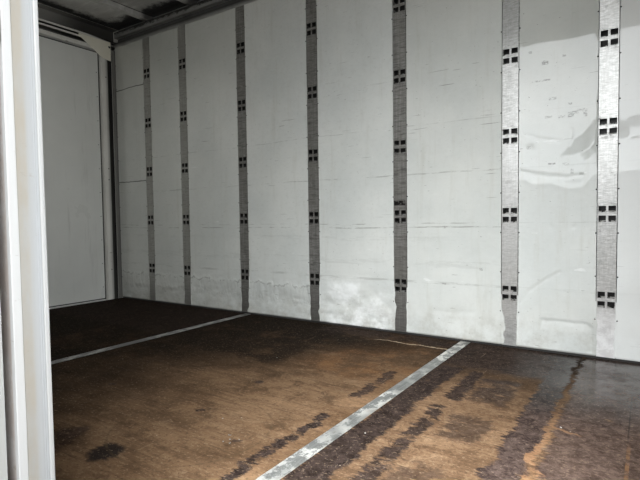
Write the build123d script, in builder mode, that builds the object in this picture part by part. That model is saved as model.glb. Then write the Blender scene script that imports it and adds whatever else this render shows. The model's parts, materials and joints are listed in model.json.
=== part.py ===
from build123d import *
from collections import namedtuple
import os

os.makedirs("parts", exist_ok=True)

# Cargo box body of a box truck, standing on its two long sills.
# +X points towards the cab, +Y to the left side and +Z up, in millimetres.
# The origin is the centre of the sills' bolt patterns, on the sills' underside.
# Wall sections are drawn in two sizes: t, outward from the wall's inner face,
# and h, upward from the cargo floor.

# Load space
inside_length = 6200.0
inside_width = 2380.0
lining_high = 2508.0

# Walls
lining_thick = 55.0
skin_thick = 3.0
lining_lift = 13.0
post_wide = 90.0
post_sheet = 3.0
post_groove = 4.0
seam_gap = 2.0
seam_heights = (1170.0, 2085.0)

# Posts: the first one's distance from the rear doors, then the steps that follow
first_post = 529.0
post_pitch = 700.3
end_pitch = 497.0
last_bay = 400.0
front_post_pitch = 600.0

# Lashing holes
lash_wide = 35.0
lash_high = 34.0
lash_pitch_x = 46.0
lash_pitch_z = 52.0
lash_first = 326.0
lash_step = 462.5
lash_rows = 5

# Underframe
sill_high = 150.0
sill_wide = 60.0
sill_sheet = 8.0
sill_spread = 790.0
mount_hole = 8.5
mount_run = 4800.0
beam_high = 80.0
beam_wide = 40.0
beam_sheet = 4.0
beam_count = 16
beam_margin = 60.0
board_thick = 27.0
board_gap = 5.0
strip_wide = 62.0
strip_thick = 4.0
strip_proud = 1.0
strip_web = 8.0
strip_first = 1752.0
strip_pitch = 1812.5

# Rails and roof
rail_sheet = 4.0
rail_skirt = 40.0
rail_drop = 107.0
rail_lip = 73.0
band_high = 47.0
recess_high = 50.0
recess_deep = 45.0
top_lip_high = 55.0
bow_wide = 50.0
bow_high = 45.0
bow_sheet = 3.0
bow_first = 555.0
bow_pitch = 600.0
roof_sheet_thick = 2.0
roof_lap = 25.0

# Rear portal
frame_deep = 94.0
frame_lead = 40.0
frame_sheet = 6.0
rear_post_wide = 143.0
post_lip_wide = 59.0
post_slot_wide = 48.0
header_drop = 63.0
header_lip = 35.0
header_slot = 38.0
header_bar = 16.0
header_gap = 19.0

# Corner gussets, measured from their outer top corner
gusset_thick = 5.0
gusset_inset = 46.0
gusset_rise = 4.0
gusset_long = 327.0
gusset_deep = 181.0
gusset_nose = 20.0
gusset_waist = (174.0, 113.0)
gusset_belly = (104.0, 158.0)
gusset_bolt = (17.0, 46.0)
gusset_bolt_hole = 8.0

# Side doorway in the right wall
doorway_from_front = 1220.0
doorway_wide = 1760.0
jamb_wide = 60.0
jamb_proud = 30.0
jamb_sheet = 4.0
header_high = 60.0
gutter_deep = 22.0
gutter_high = 18.0
gutter_sheet = 2.0

# Doors
leaf_thick = 60.0
leaf_play = 6.0
gasket_wide = 18.0
gasket_deep = 12.0
pin_play = 0.05
knuckle_flats = 10
neck_reach = 2.5
lug_thick = 12.0
lug_play = 1.0
lug_long = 45.0
side_lug_start = 6.0
rear_hinge_margin = 250.0
side_hinge_margin = 85.0
cam_high = 30.0
cam_wide = 36.0
cam_play = 10.0
keeper_wide = 12.0
keeper_deep = 28.0
rod_guides = 4
guide_margin = 150.0
guide_high = 50.0
guide_wall = 4.0
guide_play = 0.3
handle_thick = 8.0
handle_wide = 36.0
handle_tail = 25.0
handle_rise = 1080.0

# Lamps
lamp_wide = 110.0
lamp_high = 34.0
lamp_deep = 16.0
lamp_bevel = 6.0
lamp_pitch = 300.0
lamp_drop = 93.0

# Sizes worked out from those above
wall = lining_thick + skin_thick
half_width = inside_width / 2
floor_top = sill_high + beam_high + board_thick
rear_x = -inside_length / 2
front_x = inside_length / 2
portal_x = rear_x + frame_lead
portal_back = portal_x - frame_deep
outer_t = wall + rail_sheet
post_reach = post_wide / 2 + post_groove
bow_underside = lining_high + band_high + recess_high + top_lip_high
roof_underside = bow_underside + bow_high
rear_opening_high = lining_high - header_drop
doorway_end = front_x - doorway_from_front
doorway_start = doorway_end - doorway_wide


def post_centres():
    """Places of the posts along a side wall, from the rear to the front."""
    steps = [first_post, end_pitch] + 4 * [post_pitch] + [end_pitch, post_pitch, end_pitch]
    places = [rear_x + sum(steps[:number + 1]) for number in range(len(steps))]
    return [place for place in places if place + last_bay < front_x]


def spread(low, high, count):
    """Even places from low to high, both ends included."""
    return [low + number * (high - low) / (count - 1) for number in range(count)]


def bays(start, stop, posts):
    """Stretches of lining between the posts, each clear of them by the groove."""
    edges = [start]
    for post in posts:
        edges.append(post - post_reach)
        edges.append(post + post_reach)
    edges.append(stop)
    return list(zip(edges[0::2], edges[1::2]))


def plates(rows):
    """Draw a folded section from rows of (left, right, low, high)."""
    for left, right, low, high in rows:
        with Locations(((left + right) / 2, (low + high) / 2)):
            Rectangle(right - left, high - low)


def wall_rows(rows, side):
    """Turn rows of (t0, t1, h0, h1) into places across the body, on one side."""
    placed = []
    for t0, t1, h0, h1 in rows:
        ends = sorted((side * (half_width + t0), side * (half_width + t1)))
        placed.append((ends[0], ends[1], floor_top + h0, floor_top + h1))
    return placed


def block(x0, x1, y0, y1, z0, z1, mode=Mode.ADD):
    """Add or cut one box by its ends along each axis."""
    with Locations(((x0 + x1) / 2, (y0 + y1) / 2, (z0 + z1) / 2)):
        Box(x1 - x0, y1 - y0, z1 - z0, mode=mode)


left_posts_x = post_centres()
right_posts_x = [
    x for x in left_posts_x
    if x + post_wide < doorway_start - jamb_wide or x - post_wide > doorway_end + jamb_wide
]

# Underframe: two sills, the cross beams on them and the rails at the sides
with BuildPart() as main_sills:
    with BuildSketch(Plane.YZ.offset(portal_x)):
        for side in (1, -1):
            middle = side * sill_spread / 2
            web_y = middle + side * (sill_wide - sill_sheet) / 2
            with Locations((web_y, sill_high / 2)):
                Rectangle(sill_sheet, sill_high)
            for flange_z in (sill_sheet / 2, sill_high - sill_sheet / 2):
                with Locations((middle, flange_z)):
                    Rectangle(sill_wide, sill_sheet)
    extrude(amount=front_x - portal_x)
    with Locations((0, 0, sill_sheet)):
        with GridLocations(mount_run, sill_spread, 2, 2):
            Hole(radius=mount_hole, depth=sill_sheet)
main_sills.part.label = "main_sills"
export_step(main_sills.part, "parts/main_sills.step")

beam_end = beam_margin + beam_wide / 2
with BuildPart() as cross_beams:
    with BuildSketch(Plane.XZ):
        for x in spread(portal_x + beam_end, front_x - beam_end, beam_count):
            plates((
                (x - beam_wide / 2, x - beam_wide / 2 + beam_sheet, sill_high, sill_high + beam_high),
                (x - beam_wide / 2, x + beam_wide / 2, sill_high, sill_high + beam_sheet),
                (x - beam_wide / 2, x + beam_wide / 2,
                 sill_high + beam_high - beam_sheet, sill_high + beam_high),
            ))
    extrude(amount=half_width + wall, both=True)
cross_beams.part.label = "cross_beams"
export_step(cross_beams.part, "parts/cross_beams.step")

# Each bottom rail is a hollow extrusion: a box beside the floor and an outer skirt
box_in = board_gap + board_gap
bottom_rail_rows = (
    (wall, outer_t, -rail_drop, rail_lip),
    (box_in, wall, lining_lift - rail_sheet, lining_lift),
    (box_in, wall, -board_thick, rail_sheet - board_thick),
    (box_in, box_in + rail_sheet, -board_thick, lining_lift),
)
for side_name, side in (("left", 1), ("right", -1)):
    with BuildPart() as bottom_rail:
        with BuildSketch(Plane.YZ.offset(portal_x)):
            plates(wall_rows(bottom_rail_rows, side))
        extrude(amount=front_x - portal_x)
        if side < 0:
            block(
                doorway_start - jamb_wide, doorway_end + jamb_wide,
                -half_width - outer_t, -half_width,
                floor_top - board_thick, floor_top + rail_lip, mode=Mode.SUBTRACT,
            )
    bottom_rail.part.label = f"bottom_rail_{side_name}"
    export_step(bottom_rail.part, f"parts/bottom_rail_{side_name}.step")

# Floor: plywood boards, rebated where the metal strips cover their joints
strip_count = 1 + int((inside_length - strip_first) // strip_pitch)
strips_x = [rear_x + strip_first + number * strip_pitch for number in range(strip_count)]
board_edges = [portal_x] + strips_x + [front_x]
board_half = half_width + board_gap
with BuildPart() as floor_boards:
    for number in range(strip_count + 1):
        start = board_edges[number] + (strip_web / 2 if number > 0 else 0)
        stop = board_edges[number + 1] - (strip_web / 2 if number < strip_count else 0)
        block(start, stop, -board_half, board_half, floor_top - board_thick, floor_top)
    for x in strips_x:
        block(
            x - strip_wide / 2, x + strip_wide / 2, -board_half, board_half,
            floor_top - strip_thick + strip_proud, floor_top, mode=Mode.SUBTRACT,
        )
floor_boards.part.label = "floor_boards"
export_step(floor_boards.part, "parts/floor_boards.step")

with BuildPart() as floor_strips:
    for x in strips_x:
        block(
            x - strip_wide / 2, x + strip_wide / 2, -board_half, board_half,
            floor_top - strip_thick + strip_proud, floor_top + strip_proud,
        )
        block(
            x - strip_web / 2, x + strip_web / 2, -board_half, board_half,
            floor_top - board_thick, floor_top - strip_thick + strip_proud,
        )
floor_strips.part.label = "floor_strips"
export_step(floor_strips.part, "parts/floor_strips.step")

# Side walls: hollow posts with square lashing holes in their faces, thick lined
# panels between them and one skin over all
with BuildPart() as lash_post:
    with BuildSketch(Plane.XY.offset(floor_top + lining_lift)):
        with Locations((0, lining_thick / 2)):
            Rectangle(post_wide, lining_thick)
            Rectangle(post_wide - 2 * post_sheet, lining_thick - 2 * post_sheet, mode=Mode.SUBTRACT)
    extrude(amount=lining_high - lining_lift)
    for row in range(lash_rows):
        with BuildSketch(Plane.XZ.offset(-post_sheet)):
            with Locations((0, floor_top + lash_first + row * lash_step)):
                with GridLocations(lash_pitch_x, lash_pitch_z, 2, 2):
                    Rectangle(lash_wide, lash_high)
        extrude(amount=post_sheet, mode=Mode.SUBTRACT)

for side_name, side, posts in (("left", 1, left_posts_x), ("right", -1, right_posts_x)):
    with BuildPart() as wall_posts:
        with Locations(*[Location((x, side * half_width, 0), (0, 0, 90 - 90 * side)) for x in posts]):
            add(lash_post.part)
    wall_posts.part.label = f"{side_name}_posts"
    export_step(wall_posts.part, f"parts/{side_name}_posts.step")

lining_low = floor_top + lining_lift
lining_top = floor_top + lining_high
rear_posts_x = [x for x in right_posts_x if x < doorway_start]
fore_posts_x = [x for x in right_posts_x if x > doorway_start]
right_bays = (
    bays(portal_x, doorway_start - jamb_wide, rear_posts_x)
    + bays(doorway_end + jamb_wide, front_x, fore_posts_x)
)
left_bays = bays(portal_x, front_x, left_posts_x)
for side_name, side, stretches in (("left", 1, left_bays), ("right", -1, right_bays)):
    ends = sorted((side * half_width, side * (half_width + lining_thick)))
    with BuildPart() as lining:
        for start, stop in stretches:
            block(start, stop, ends[0], ends[1], lining_low, lining_top)
        first_start, first_stop = stretches[0]
        for seam in seam_heights:
            block(
                first_start, first_stop, ends[0], ends[1],
                floor_top + seam - seam_gap / 2, floor_top + seam + seam_gap / 2, mode=Mode.SUBTRACT,
            )
    lining.part.label = f"{side_name}_lining"
    export_step(lining.part, f"parts/{side_name}_lining.step")

skin_stretches = {
    "left": ((portal_x, front_x),),
    "right": ((portal_x, doorway_start - jamb_wide), (doorway_end + jamb_wide, front_x)),
}
for side_name, side in (("left", 1), ("right", -1)):
    ends = sorted((side * (half_width + lining_thick), side * (half_width + wall)))
    with BuildPart() as skin:
        for start, stop in skin_stretches[side_name]:
            block(start, stop, ends[0], ends[1], lining_low, lining_top)
    skin.part.label = f"{side_name}_skin"
    export_step(skin.part, f"parts/{side_name}_skin.step")

# Front wall
front_posts_y = (-front_post_pitch, 0.0, front_post_pitch)
with BuildPart() as front_lining:
    for start, stop in bays(-half_width, half_width, front_posts_y):
        block(front_x, front_x + lining_thick, start, stop, lining_low, lining_top)
front_lining.part.label = "front_lining"
export_step(front_lining.part, "parts/front_lining.step")

with BuildPart() as front_posts:
    with BuildSketch(Plane.XY.offset(lining_low)):
        for y in front_posts_y:
            with Locations((front_x + lining_thick / 2, y)):
                Rectangle(lining_thick, post_wide)
                Rectangle(lining_thick - 2 * post_sheet, post_wide - 2 * post_sheet, mode=Mode.SUBTRACT)
    extrude(amount=lining_high - lining_lift)
front_posts.part.label = "front_posts"
export_step(front_posts.part, "parts/front_posts.step")

with BuildPart() as front_skin:
    block(front_x + lining_thick, front_x + wall, -half_width, half_width, lining_low, lining_top)
front_skin.part.label = "front_skin"
export_step(front_skin.part, "parts/front_skin.step")

# Each front corner is a rounded hollow post
with BuildPart() as front_corners:
    with BuildSketch(Plane.XY.offset(floor_top - rail_drop)):
        for side in (1, -1):
            with Locations((front_x, side * half_width)):
                Circle(outer_t)
                Circle(outer_t - rail_sheet, mode=Mode.SUBTRACT)
        with Locations((front_x - outer_t, 0)):
            Rectangle(2 * outer_t, inside_width + 4 * outer_t, mode=Mode.SUBTRACT)
        with Locations((front_x, 0)):
            Rectangle(4 * outer_t, inside_width, mode=Mode.SUBTRACT)
        tongue = outer_t - rail_sheet / 2
        for side in (1, -1):
            with Locations((front_x + tongue / 2, side * (half_width + rail_sheet / 2))):
                Rectangle(tongue, rail_sheet)
            with Locations((front_x + rail_sheet / 2, side * (half_width + tongue / 2))):
                Rectangle(rail_sheet, tongue)
    extrude(amount=roof_underside + rail_drop)
front_corners.part.label = "front_corners"
export_step(front_corners.part, "parts/front_corners.step")

# Top rails: a channel open to the load space, its band and lip above the lining
top_rail_rows = (
    # t0, t1, h0, h1
    (wall, outer_t, lining_high - rail_skirt, roof_underside),
    (0, wall, lining_high, lining_high + rail_sheet),
    (0, rail_sheet, lining_high, lining_high + band_high),
    (0, recess_deep, lining_high + band_high - rail_sheet, lining_high + band_high),
    (recess_deep - rail_sheet, recess_deep,
     lining_high + band_high - rail_sheet, lining_high + band_high + recess_high + rail_sheet),
    (0, recess_deep,
     lining_high + band_high + recess_high, lining_high + band_high + recess_high + rail_sheet),
    (0, rail_sheet, lining_high + band_high + recess_high, bow_underside),
    (0, wall, bow_underside - rail_sheet, bow_underside),
)
for side_name, side in (("left", 1), ("right", -1)):
    with BuildPart() as top_rail:
        with BuildSketch(Plane.YZ.offset(portal_x)):
            plates(wall_rows(top_rail_rows, side))
        extrude(amount=front_x - portal_x)
        if side < 0:
            block(
                doorway_start - jamb_wide, doorway_end + jamb_wide,
                -half_width - outer_t, -half_width - wall,
                lining_top - rail_skirt, lining_top, mode=Mode.SUBTRACT,
            )
    top_rail.part.label = f"top_rail_{side_name}"
    export_step(top_rail.part, f"parts/top_rail_{side_name}.step")

front_rail_rows = [
    (front_x + t0, front_x + t1, floor_top + h0, floor_top + h1)
    for t0, t1, h0, h1 in top_rail_rows + (
        (wall, outer_t, -rail_drop, rail_lip),
        (0, wall, lining_lift - rail_sheet, lining_lift),
        (0, wall, -board_thick, rail_sheet - board_thick),
        (0, rail_sheet, -board_thick, lining_lift),
    )
]
with BuildPart() as front_rails:
    with BuildSketch(Plane.XZ):
        plates(front_rail_rows)
    extrude(amount=half_width, both=True)
front_rails.part.label = "front_rails"
export_step(front_rails.part, "parts/front_rails.step")

# Roof: bows of channel section under one sheet with turned down edges
bow_count = 1 + int((inside_length - bow_first - bow_wide) // bow_pitch)
bows_x = [rear_x + bow_first + number * bow_pitch for number in range(bow_count)]
bow_low = floor_top + bow_underside
with BuildPart() as roof_bows:
    with BuildSketch(Plane.XZ):
        for x in bows_x:
            with Locations((x, bow_low + bow_high / 2)):
                Rectangle(bow_wide, bow_high)
            with Locations((x, bow_low + (bow_high + bow_sheet) / 2)):
                Rectangle(bow_wide - 2 * bow_sheet, bow_high - bow_sheet, mode=Mode.SUBTRACT)
    extrude(amount=half_width + wall, both=True)
roof_bows.part.label = "roof_bows"
export_step(roof_bows.part, "parts/roof_bows.step")

roof_low = floor_top + roof_underside
roof_back = portal_back
roof_front = front_x + outer_t
roof_half = half_width + outer_t
with BuildPart() as roof_sheet:
    for grow, top, mode in ((roof_sheet_thick, roof_sheet_thick, Mode.ADD), (0, 0, Mode.SUBTRACT)):
        with BuildSketch(Plane.XY.offset(roof_low - roof_lap)) as roof_outline:
            with Locations(((roof_back + roof_front) / 2, 0)):
                Rectangle(roof_front - roof_back + 2 * grow, 2 * (roof_half + grow))
            fillet(roof_outline.vertices().group_by(Axis.X)[-1], radius=outer_t + grow)
        extrude(amount=roof_lap + top, mode=mode)
roof_sheet.part.label = "roof_sheet"
export_step(roof_sheet.part, "parts/roof_sheet.step")

# Rear portal: two channel posts open to the load space, a header and a threshold
post_in = half_width - rear_post_wide
post_out = half_width + outer_t
rear_post_rows = (
    # inner and outer place across the body, then depth behind the portal's face
    (post_in, post_out, frame_deep - frame_sheet, frame_deep),
    (post_in, post_in + frame_sheet, 0, frame_deep),
    (post_in, post_in + post_lip_wide, 0, frame_sheet),
    (post_in + post_lip_wide + post_slot_wide, post_out, 0, frame_sheet),
    (post_out - frame_sheet, post_out, 0, frame_deep),
)
with BuildPart() as rear_posts:
    with BuildSketch(Plane.XY.offset(floor_top - rail_drop)):
        for side in (1, -1):
            for near, far, d0, d1 in rear_post_rows:
                with Locations((portal_x - (d0 + d1) / 2, side * (near + far) / 2)):
                    Rectangle(d1 - d0, far - near)
    extrude(amount=rail_drop + rear_opening_high)
rear_posts.part.label = "rear_posts"
export_step(rear_posts.part, "parts/rear_posts.step")

upper_low = rear_opening_high + header_lip + header_slot
upper_high = upper_low + header_bar
bar_low = upper_high + header_gap
bar_high = bar_low + header_bar
header_rows = (
    # depth behind the portal's face, then h0 and h1
    (frame_deep - frame_sheet, frame_deep, rear_opening_high, roof_underside),
    (0, frame_deep, rear_opening_high, rear_opening_high + frame_sheet),
    (0, frame_sheet, rear_opening_high, rear_opening_high + header_lip),
    (0, frame_sheet, upper_low, upper_high),
    (0, frame_deep, upper_high - frame_sheet, upper_high),
    (0, frame_sheet, bar_low, bar_high),
    (0, frame_deep, bar_high - frame_sheet, bar_high),
    (0, frame_deep, roof_underside - frame_sheet, roof_underside),
)
with BuildPart() as rear_header:
    with BuildSketch(Plane.XZ):
        plates([
            (portal_x - d1, portal_x - d0, floor_top + h0, floor_top + h1)
            for d0, d1, h0, h1 in header_rows
        ])
    extrude(amount=post_out, both=True)
    for end in (-post_out, post_out - frame_sheet):
        block(
            portal_back, portal_x, end, end + frame_sheet,
            floor_top + rear_opening_high, floor_top + roof_underside,
        )
rear_header.part.label = "rear_header"
export_step(rear_header.part, "parts/rear_header.step")

threshold_rows = (
    (frame_deep - frame_sheet, frame_deep, -rail_drop, 0),
    (0, frame_deep, -frame_sheet, 0),
    (0, frame_sheet, -rail_drop, 0),
)
with BuildPart() as rear_threshold:
    with BuildSketch(Plane.XZ):
        plates([
            (portal_x - d1, portal_x - d0, floor_top + h0, floor_top + h1)
            for d0, d1, h0, h1 in threshold_rows
        ])
    extrude(amount=post_in, both=True)
rear_threshold.part.label = "rear_threshold"
export_step(rear_threshold.part, "parts/rear_threshold.step")

# Corner gussets, plates with a curved lower edge, on the portal's face
gusset_y = half_width - gusset_inset
gusset_z = floor_top + bar_low - gusset_rise


def gusset_point(inward, down):
    """A point of the gusset, from its outer top corner."""
    return (gusset_y - inward, gusset_z - down)


with BuildPart() as rear_gussets:
    with BuildSketch(Plane.YZ.offset(portal_x)):
        with BuildLine():
            Polyline(
                gusset_point(*gusset_waist),
                gusset_point(gusset_long, gusset_nose),
                gusset_point(gusset_long, 0),
                gusset_point(0, 0),
                gusset_point(0, gusset_deep),
            )
            ThreePointArc(
                gusset_point(0, gusset_deep),
                gusset_point(*gusset_belly),
                gusset_point(*gusset_waist),
            )
        make_face()
        with Locations(gusset_point(*gusset_bolt)):
            Circle(gusset_bolt_hole, mode=Mode.SUBTRACT)
        mirror(about=Plane.YZ)
    extrude(amount=gusset_thick)
rear_gussets.part.label = "rear_gussets"
export_step(rear_gussets.part, "parts/rear_gussets.step")

# Side doorway: jambs through the wall's thickness, a header and a sill
jamb_t = wall + jamb_proud
with BuildPart() as side_jambs:
    with BuildSketch(Plane.XY.offset(floor_top)):
        for edge, away in ((doorway_start, -1), (doorway_end, 1)):
            middle = edge + away * jamb_wide / 2
            with Locations((middle, -half_width - jamb_t / 2)):
                Rectangle(jamb_wide, jamb_t)
                Rectangle(jamb_wide - 2 * jamb_sheet, jamb_t - 2 * jamb_sheet, mode=Mode.SUBTRACT)
    extrude(amount=lining_high)
side_jambs.part.label = "side_jambs"
export_step(side_jambs.part, "parts/side_jambs.step")

gutter_t = jamb_t + gutter_deep
header_top = lining_high + header_high
side_header_rows = (
    # t0, t1, h0, h1: the bar, then the rain gutter along its top
    (outer_t, jamb_t, lining_high, header_top),
    (jamb_t, gutter_t, header_top - gutter_sheet, header_top),
    (gutter_t - gutter_sheet, gutter_t, header_top - gutter_sheet, header_top + gutter_high),
)
with BuildPart() as side_header:
    with BuildSketch(Plane.YZ.offset(doorway_start - jamb_wide)):
        plates(wall_rows(side_header_rows, -1))
    extrude(amount=doorway_wide + 2 * jamb_wide)
side_header.part.label = "side_header"
export_step(side_header.part, "parts/side_header.step")

sill_rows = (
    (box_in, jamb_t, -jamb_sheet, 0),
    (box_in, box_in + jamb_sheet, -board_thick, 0),
    (outer_t, outer_t + jamb_sheet, -header_high, 0),
    (jamb_t - jamb_sheet, jamb_t, -header_high, 0),
    (outer_t, jamb_t, -header_high, jamb_sheet - header_high),
)
with BuildPart() as side_sill:
    with BuildSketch(Plane.YZ.offset(doorway_start - jamb_wide)):
        plates(wall_rows(sill_rows, -1))
    extrude(amount=doorway_wide + 2 * jamb_wide)
side_sill.part.label = "side_sill"
export_step(side_sill.part, "parts/side_sill.step")

# Doors. Each is drawn in its hinge's own plane: u runs from the pin along the
# leaf, v from the pin towards the load space when the door is closed.
DoorKind = namedtuple("DoorKind", [
    "width", "top", "edge", "outer", "frame_face", "knuckle", "pin",
    "strap_thick", "strap_run", "strap_high", "hinge_count", "hinge_margin", "lug_near", "lug_far",
    "rod_radius", "rod_stand", "rod_place", "handle_run",
])
Door = namedtuple("Door", ["name", "kind", "pin_x", "pin_y", "closed", "hand", "folded"])

rear_pin_back = 36.0
rear_pin_out = 78.7
rear_pin_x = portal_back - rear_pin_back
rear_pin_y = half_width + rear_pin_out
rear_kind = DoorKind(
    width=post_in - 2 * leaf_play,
    top=rear_opening_high - leaf_play,
    edge=rear_pin_y - post_in + leaf_play,
    outer=rear_x - leaf_thick - rear_pin_x,
    frame_face=rear_pin_back,
    knuckle=14.0,
    pin=8.0,
    strap_thick=8.0,
    strap_run=190.0,
    strap_high=60.0,
    hinge_count=3,
    hinge_margin=rear_hinge_margin,
    lug_near=rear_pin_y - post_out,
    lug_far=rear_pin_y - post_out + lug_long,
    rod_radius=13.5,
    rod_stand=7.5,
    rod_place=760.0,
    handle_run=420.0,
)
side_pin_in = 4.0
side_pin_out = 10.0
side_pin_t = jamb_t + side_pin_out
side_kind = DoorKind(
    width=doorway_wide / 2 - 2 * leaf_play,
    top=lining_high - leaf_play,
    edge=side_pin_in + leaf_play,
    outer=side_pin_out,
    frame_face=side_pin_out,
    knuckle=7.0,
    pin=4.0,
    strap_thick=6.0,
    strap_run=180.0,
    strap_high=50.0,
    hinge_count=3,
    hinge_margin=side_hinge_margin,
    lug_near=-side_lug_start - lug_long,
    lug_far=-side_lug_start,
    rod_radius=10.0,
    rod_stand=4.0,
    rod_place=700.0,
    handle_run=340.0,
)
side_pin_y = half_width + side_pin_t
doors = (
    Door("rear_left", rear_kind, rear_pin_x, rear_pin_y, (0, -1), 1, False),
    Door("rear_right", rear_kind, rear_pin_x, -rear_pin_y, (0, 1), -1, False),
    Door("side_rear", side_kind, doorway_start - side_pin_in, -side_pin_y, (1, 0), 1, True),
    Door("side_front", side_kind, doorway_end + side_pin_in, -side_pin_y, (-1, 0), -1, True),
)
leaf_bottom = leaf_play


def hinge_plane(door, closed):
    """The door's plane at the pin, in its closed place or as it rests."""
    turn = -1 if door.folded and not closed else 1
    along = (turn * door.closed[0], turn * door.closed[1], 0)
    return Plane(origin=(door.pin_x, door.pin_y, floor_top), x_dir=along, z_dir=(0, 0, 1))


def strip(door, u0, u1, v0, v1, mode=Mode.ADD):
    """Draw a rectangle in the hinge plane, from u0 to u1 and v0 to v1."""
    with Locations(((u0 + u1) / 2, door.hand * (v0 + v1) / 2)):
        Rectangle(u1 - u0, v1 - v0, mode=mode)


def gasket_face(door):
    """The plane of the leaf's inner face, pointing into the leaf."""
    kind = door.kind
    place = hinge_plane(door, False)
    middle = (
        kind.edge + kind.width / 2,
        door.hand * (kind.outer + leaf_thick),
        (leaf_bottom + kind.top) / 2,
    )
    return Plane(
        origin=place.from_local_coords(Vector(*middle)),
        x_dir=place.x_dir,
        z_dir=place.y_dir * -door.hand,
    )


def ring(door):
    """Draw the gasket's run round the leaf's edge."""
    high = door.kind.top - leaf_bottom
    Rectangle(door.kind.width, high)
    Rectangle(door.kind.width - 2 * gasket_wide, high - 2 * gasket_wide, mode=Mode.SUBTRACT)


def hinge_heights(kind):
    """Heights of the hinges' middles."""
    low = leaf_bottom + kind.hinge_margin
    return spread(low, kind.top - kind.hinge_margin, kind.hinge_count)


def cam_heights(kind):
    """Where the cams at the rod's ends start: below the leaf and above it."""
    return (-cam_play - cam_high, kind.top + leaf_play + cam_play)


def rod_axis(kind):
    """How far the lock rod's centre line stands from the pin's, across the leaf."""
    return kind.outer - kind.rod_stand - kind.rod_radius


for door in doors:
    kind = door.kind
    rest = hinge_plane(door, False)

    with BuildPart() as leaf:
        with BuildSketch(rest.offset(leaf_bottom)):
            strip(door, kind.edge, kind.edge + kind.width, kind.outer, kind.outer + leaf_thick)
        extrude(amount=kind.top - leaf_bottom)
        with BuildSketch(gasket_face(door)):
            ring(door)
        extrude(amount=gasket_deep, mode=Mode.SUBTRACT)
    leaf.part.label = f"{door.name}_leaf"
    export_step(leaf.part, f"parts/{door.name}_leaf.step")

    with BuildPart() as gasket:
        with BuildSketch(gasket_face(door)):
            ring(door)
        extrude(amount=gasket_deep)
    gasket.part.label = f"{door.name}_gasket"
    export_step(gasket.part, f"parts/{door.name}_gasket.step")

    # Hinge straps: a blade on the leaf's outer face, ending in a bored knuckle
    with BuildPart() as hinges:
        neck = neck_reach * kind.knuckle
        for height in hinge_heights(kind):
            with BuildSketch(rest.offset(height - kind.strap_high / 2)):
                RegularPolygon(kind.knuckle, knuckle_flats, major_radius=False)
                strip(door, neck, neck + kind.strap_thick, kind.outer - kind.strap_thick, kind.outer)
                make_hull()
                strip(door, neck, kind.edge + kind.strap_run,
                      kind.outer - kind.strap_thick, kind.outer)
                Circle(kind.pin + pin_play, mode=Mode.SUBTRACT)
            extrude(amount=kind.strap_high)
    hinges.part.label = f"{door.name}_hinges"
    export_step(hinges.part, f"parts/{door.name}_hinges.step")

    # The lock rod with a cam at each end, the guides it turns in, and its handle
    rod_u = kind.edge + kind.rod_place
    rod_v = rod_axis(kind)
    with BuildPart() as lock:
        low, high = cam_heights(kind)
        with BuildSketch(rest.offset(low + cam_high)):
            with Locations((rod_u, door.hand * rod_v)):
                Circle(kind.rod_radius)
        extrude(amount=high - low - cam_high)
        for cam_low in (low, high):
            with BuildSketch(rest.offset(cam_low)):
                strip(door, rod_u - cam_wide / 2, rod_u + cam_wide / 2,
                      rod_v - kind.rod_radius, kind.frame_face - leaf_play)
            extrude(amount=cam_high)
        bore = kind.rod_radius + guide_play
        for guide in spread(leaf_bottom + guide_margin, kind.top - guide_margin - guide_high, rod_guides):
            with BuildSketch(rest.offset(guide)):
                strip(door, rod_u - bore - guide_wall, rod_u + bore + guide_wall,
                      rod_v - bore - guide_wall, kind.outer)
                strip(door, rod_u - bore, rod_u + bore, rod_v - bore, kind.outer, mode=Mode.SUBTRACT)
            extrude(amount=guide_high)
        with BuildSketch(rest.offset(handle_rise)):
            handle_v = rod_v - kind.rod_radius - guide_play
            strip(door, rod_u - kind.handle_run, rod_u + handle_tail, handle_v - handle_thick, handle_v)
        extrude(amount=handle_wide)
    lock.part.label = f"{door.name}_lock"
    export_step(lock.part, f"parts/{door.name}_lock.step")

# Hinge brackets, two lugs and the pin between them, and the keepers for the cams
for group in ("rear", "side"):
    group_doors = [door for door in doors if door.name.startswith(group)]
    with BuildPart() as brackets:
        for door in group_doors:
            kind = door.kind
            shut = hinge_plane(door, True)
            lug_start = kind.strap_high / 2 + lug_play
            for height in hinge_heights(kind):
                for low in (height - lug_start - lug_thick, height + lug_start):
                    with BuildSketch(shut.offset(low)):
                        RegularPolygon(kind.knuckle, knuckle_flats, major_radius=False)
                        strip(door, kind.lug_near, kind.lug_far,
                              kind.frame_face - frame_sheet, kind.frame_face)
                        make_hull()
                    extrude(amount=lug_thick)
                with BuildSketch(shut.offset(height - lug_start)):
                    Circle(kind.pin)
                extrude(amount=2 * lug_start)
    brackets.part.label = f"{group}_hinge_brackets"
    export_step(brackets.part, f"parts/{group}_hinge_brackets.step")

    with BuildPart() as keepers:
        for door in group_doors:
            kind = door.kind
            rod_u = kind.edge + kind.rod_place
            reach = cam_wide / 2 + leaf_play
            for cam_low in cam_heights(kind):
                with BuildSketch(hinge_plane(door, True).offset(cam_low)):
                    for near, far in ((reach, reach + keeper_wide), (-reach - keeper_wide, -reach)):
                        strip(door, rod_u + near, rod_u + far,
                              kind.frame_face - keeper_deep, kind.frame_face)
                extrude(amount=cam_high)
    keepers.part.label = f"{group}_keepers"
    export_step(keepers.part, f"parts/{group}_keepers.step")

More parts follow.
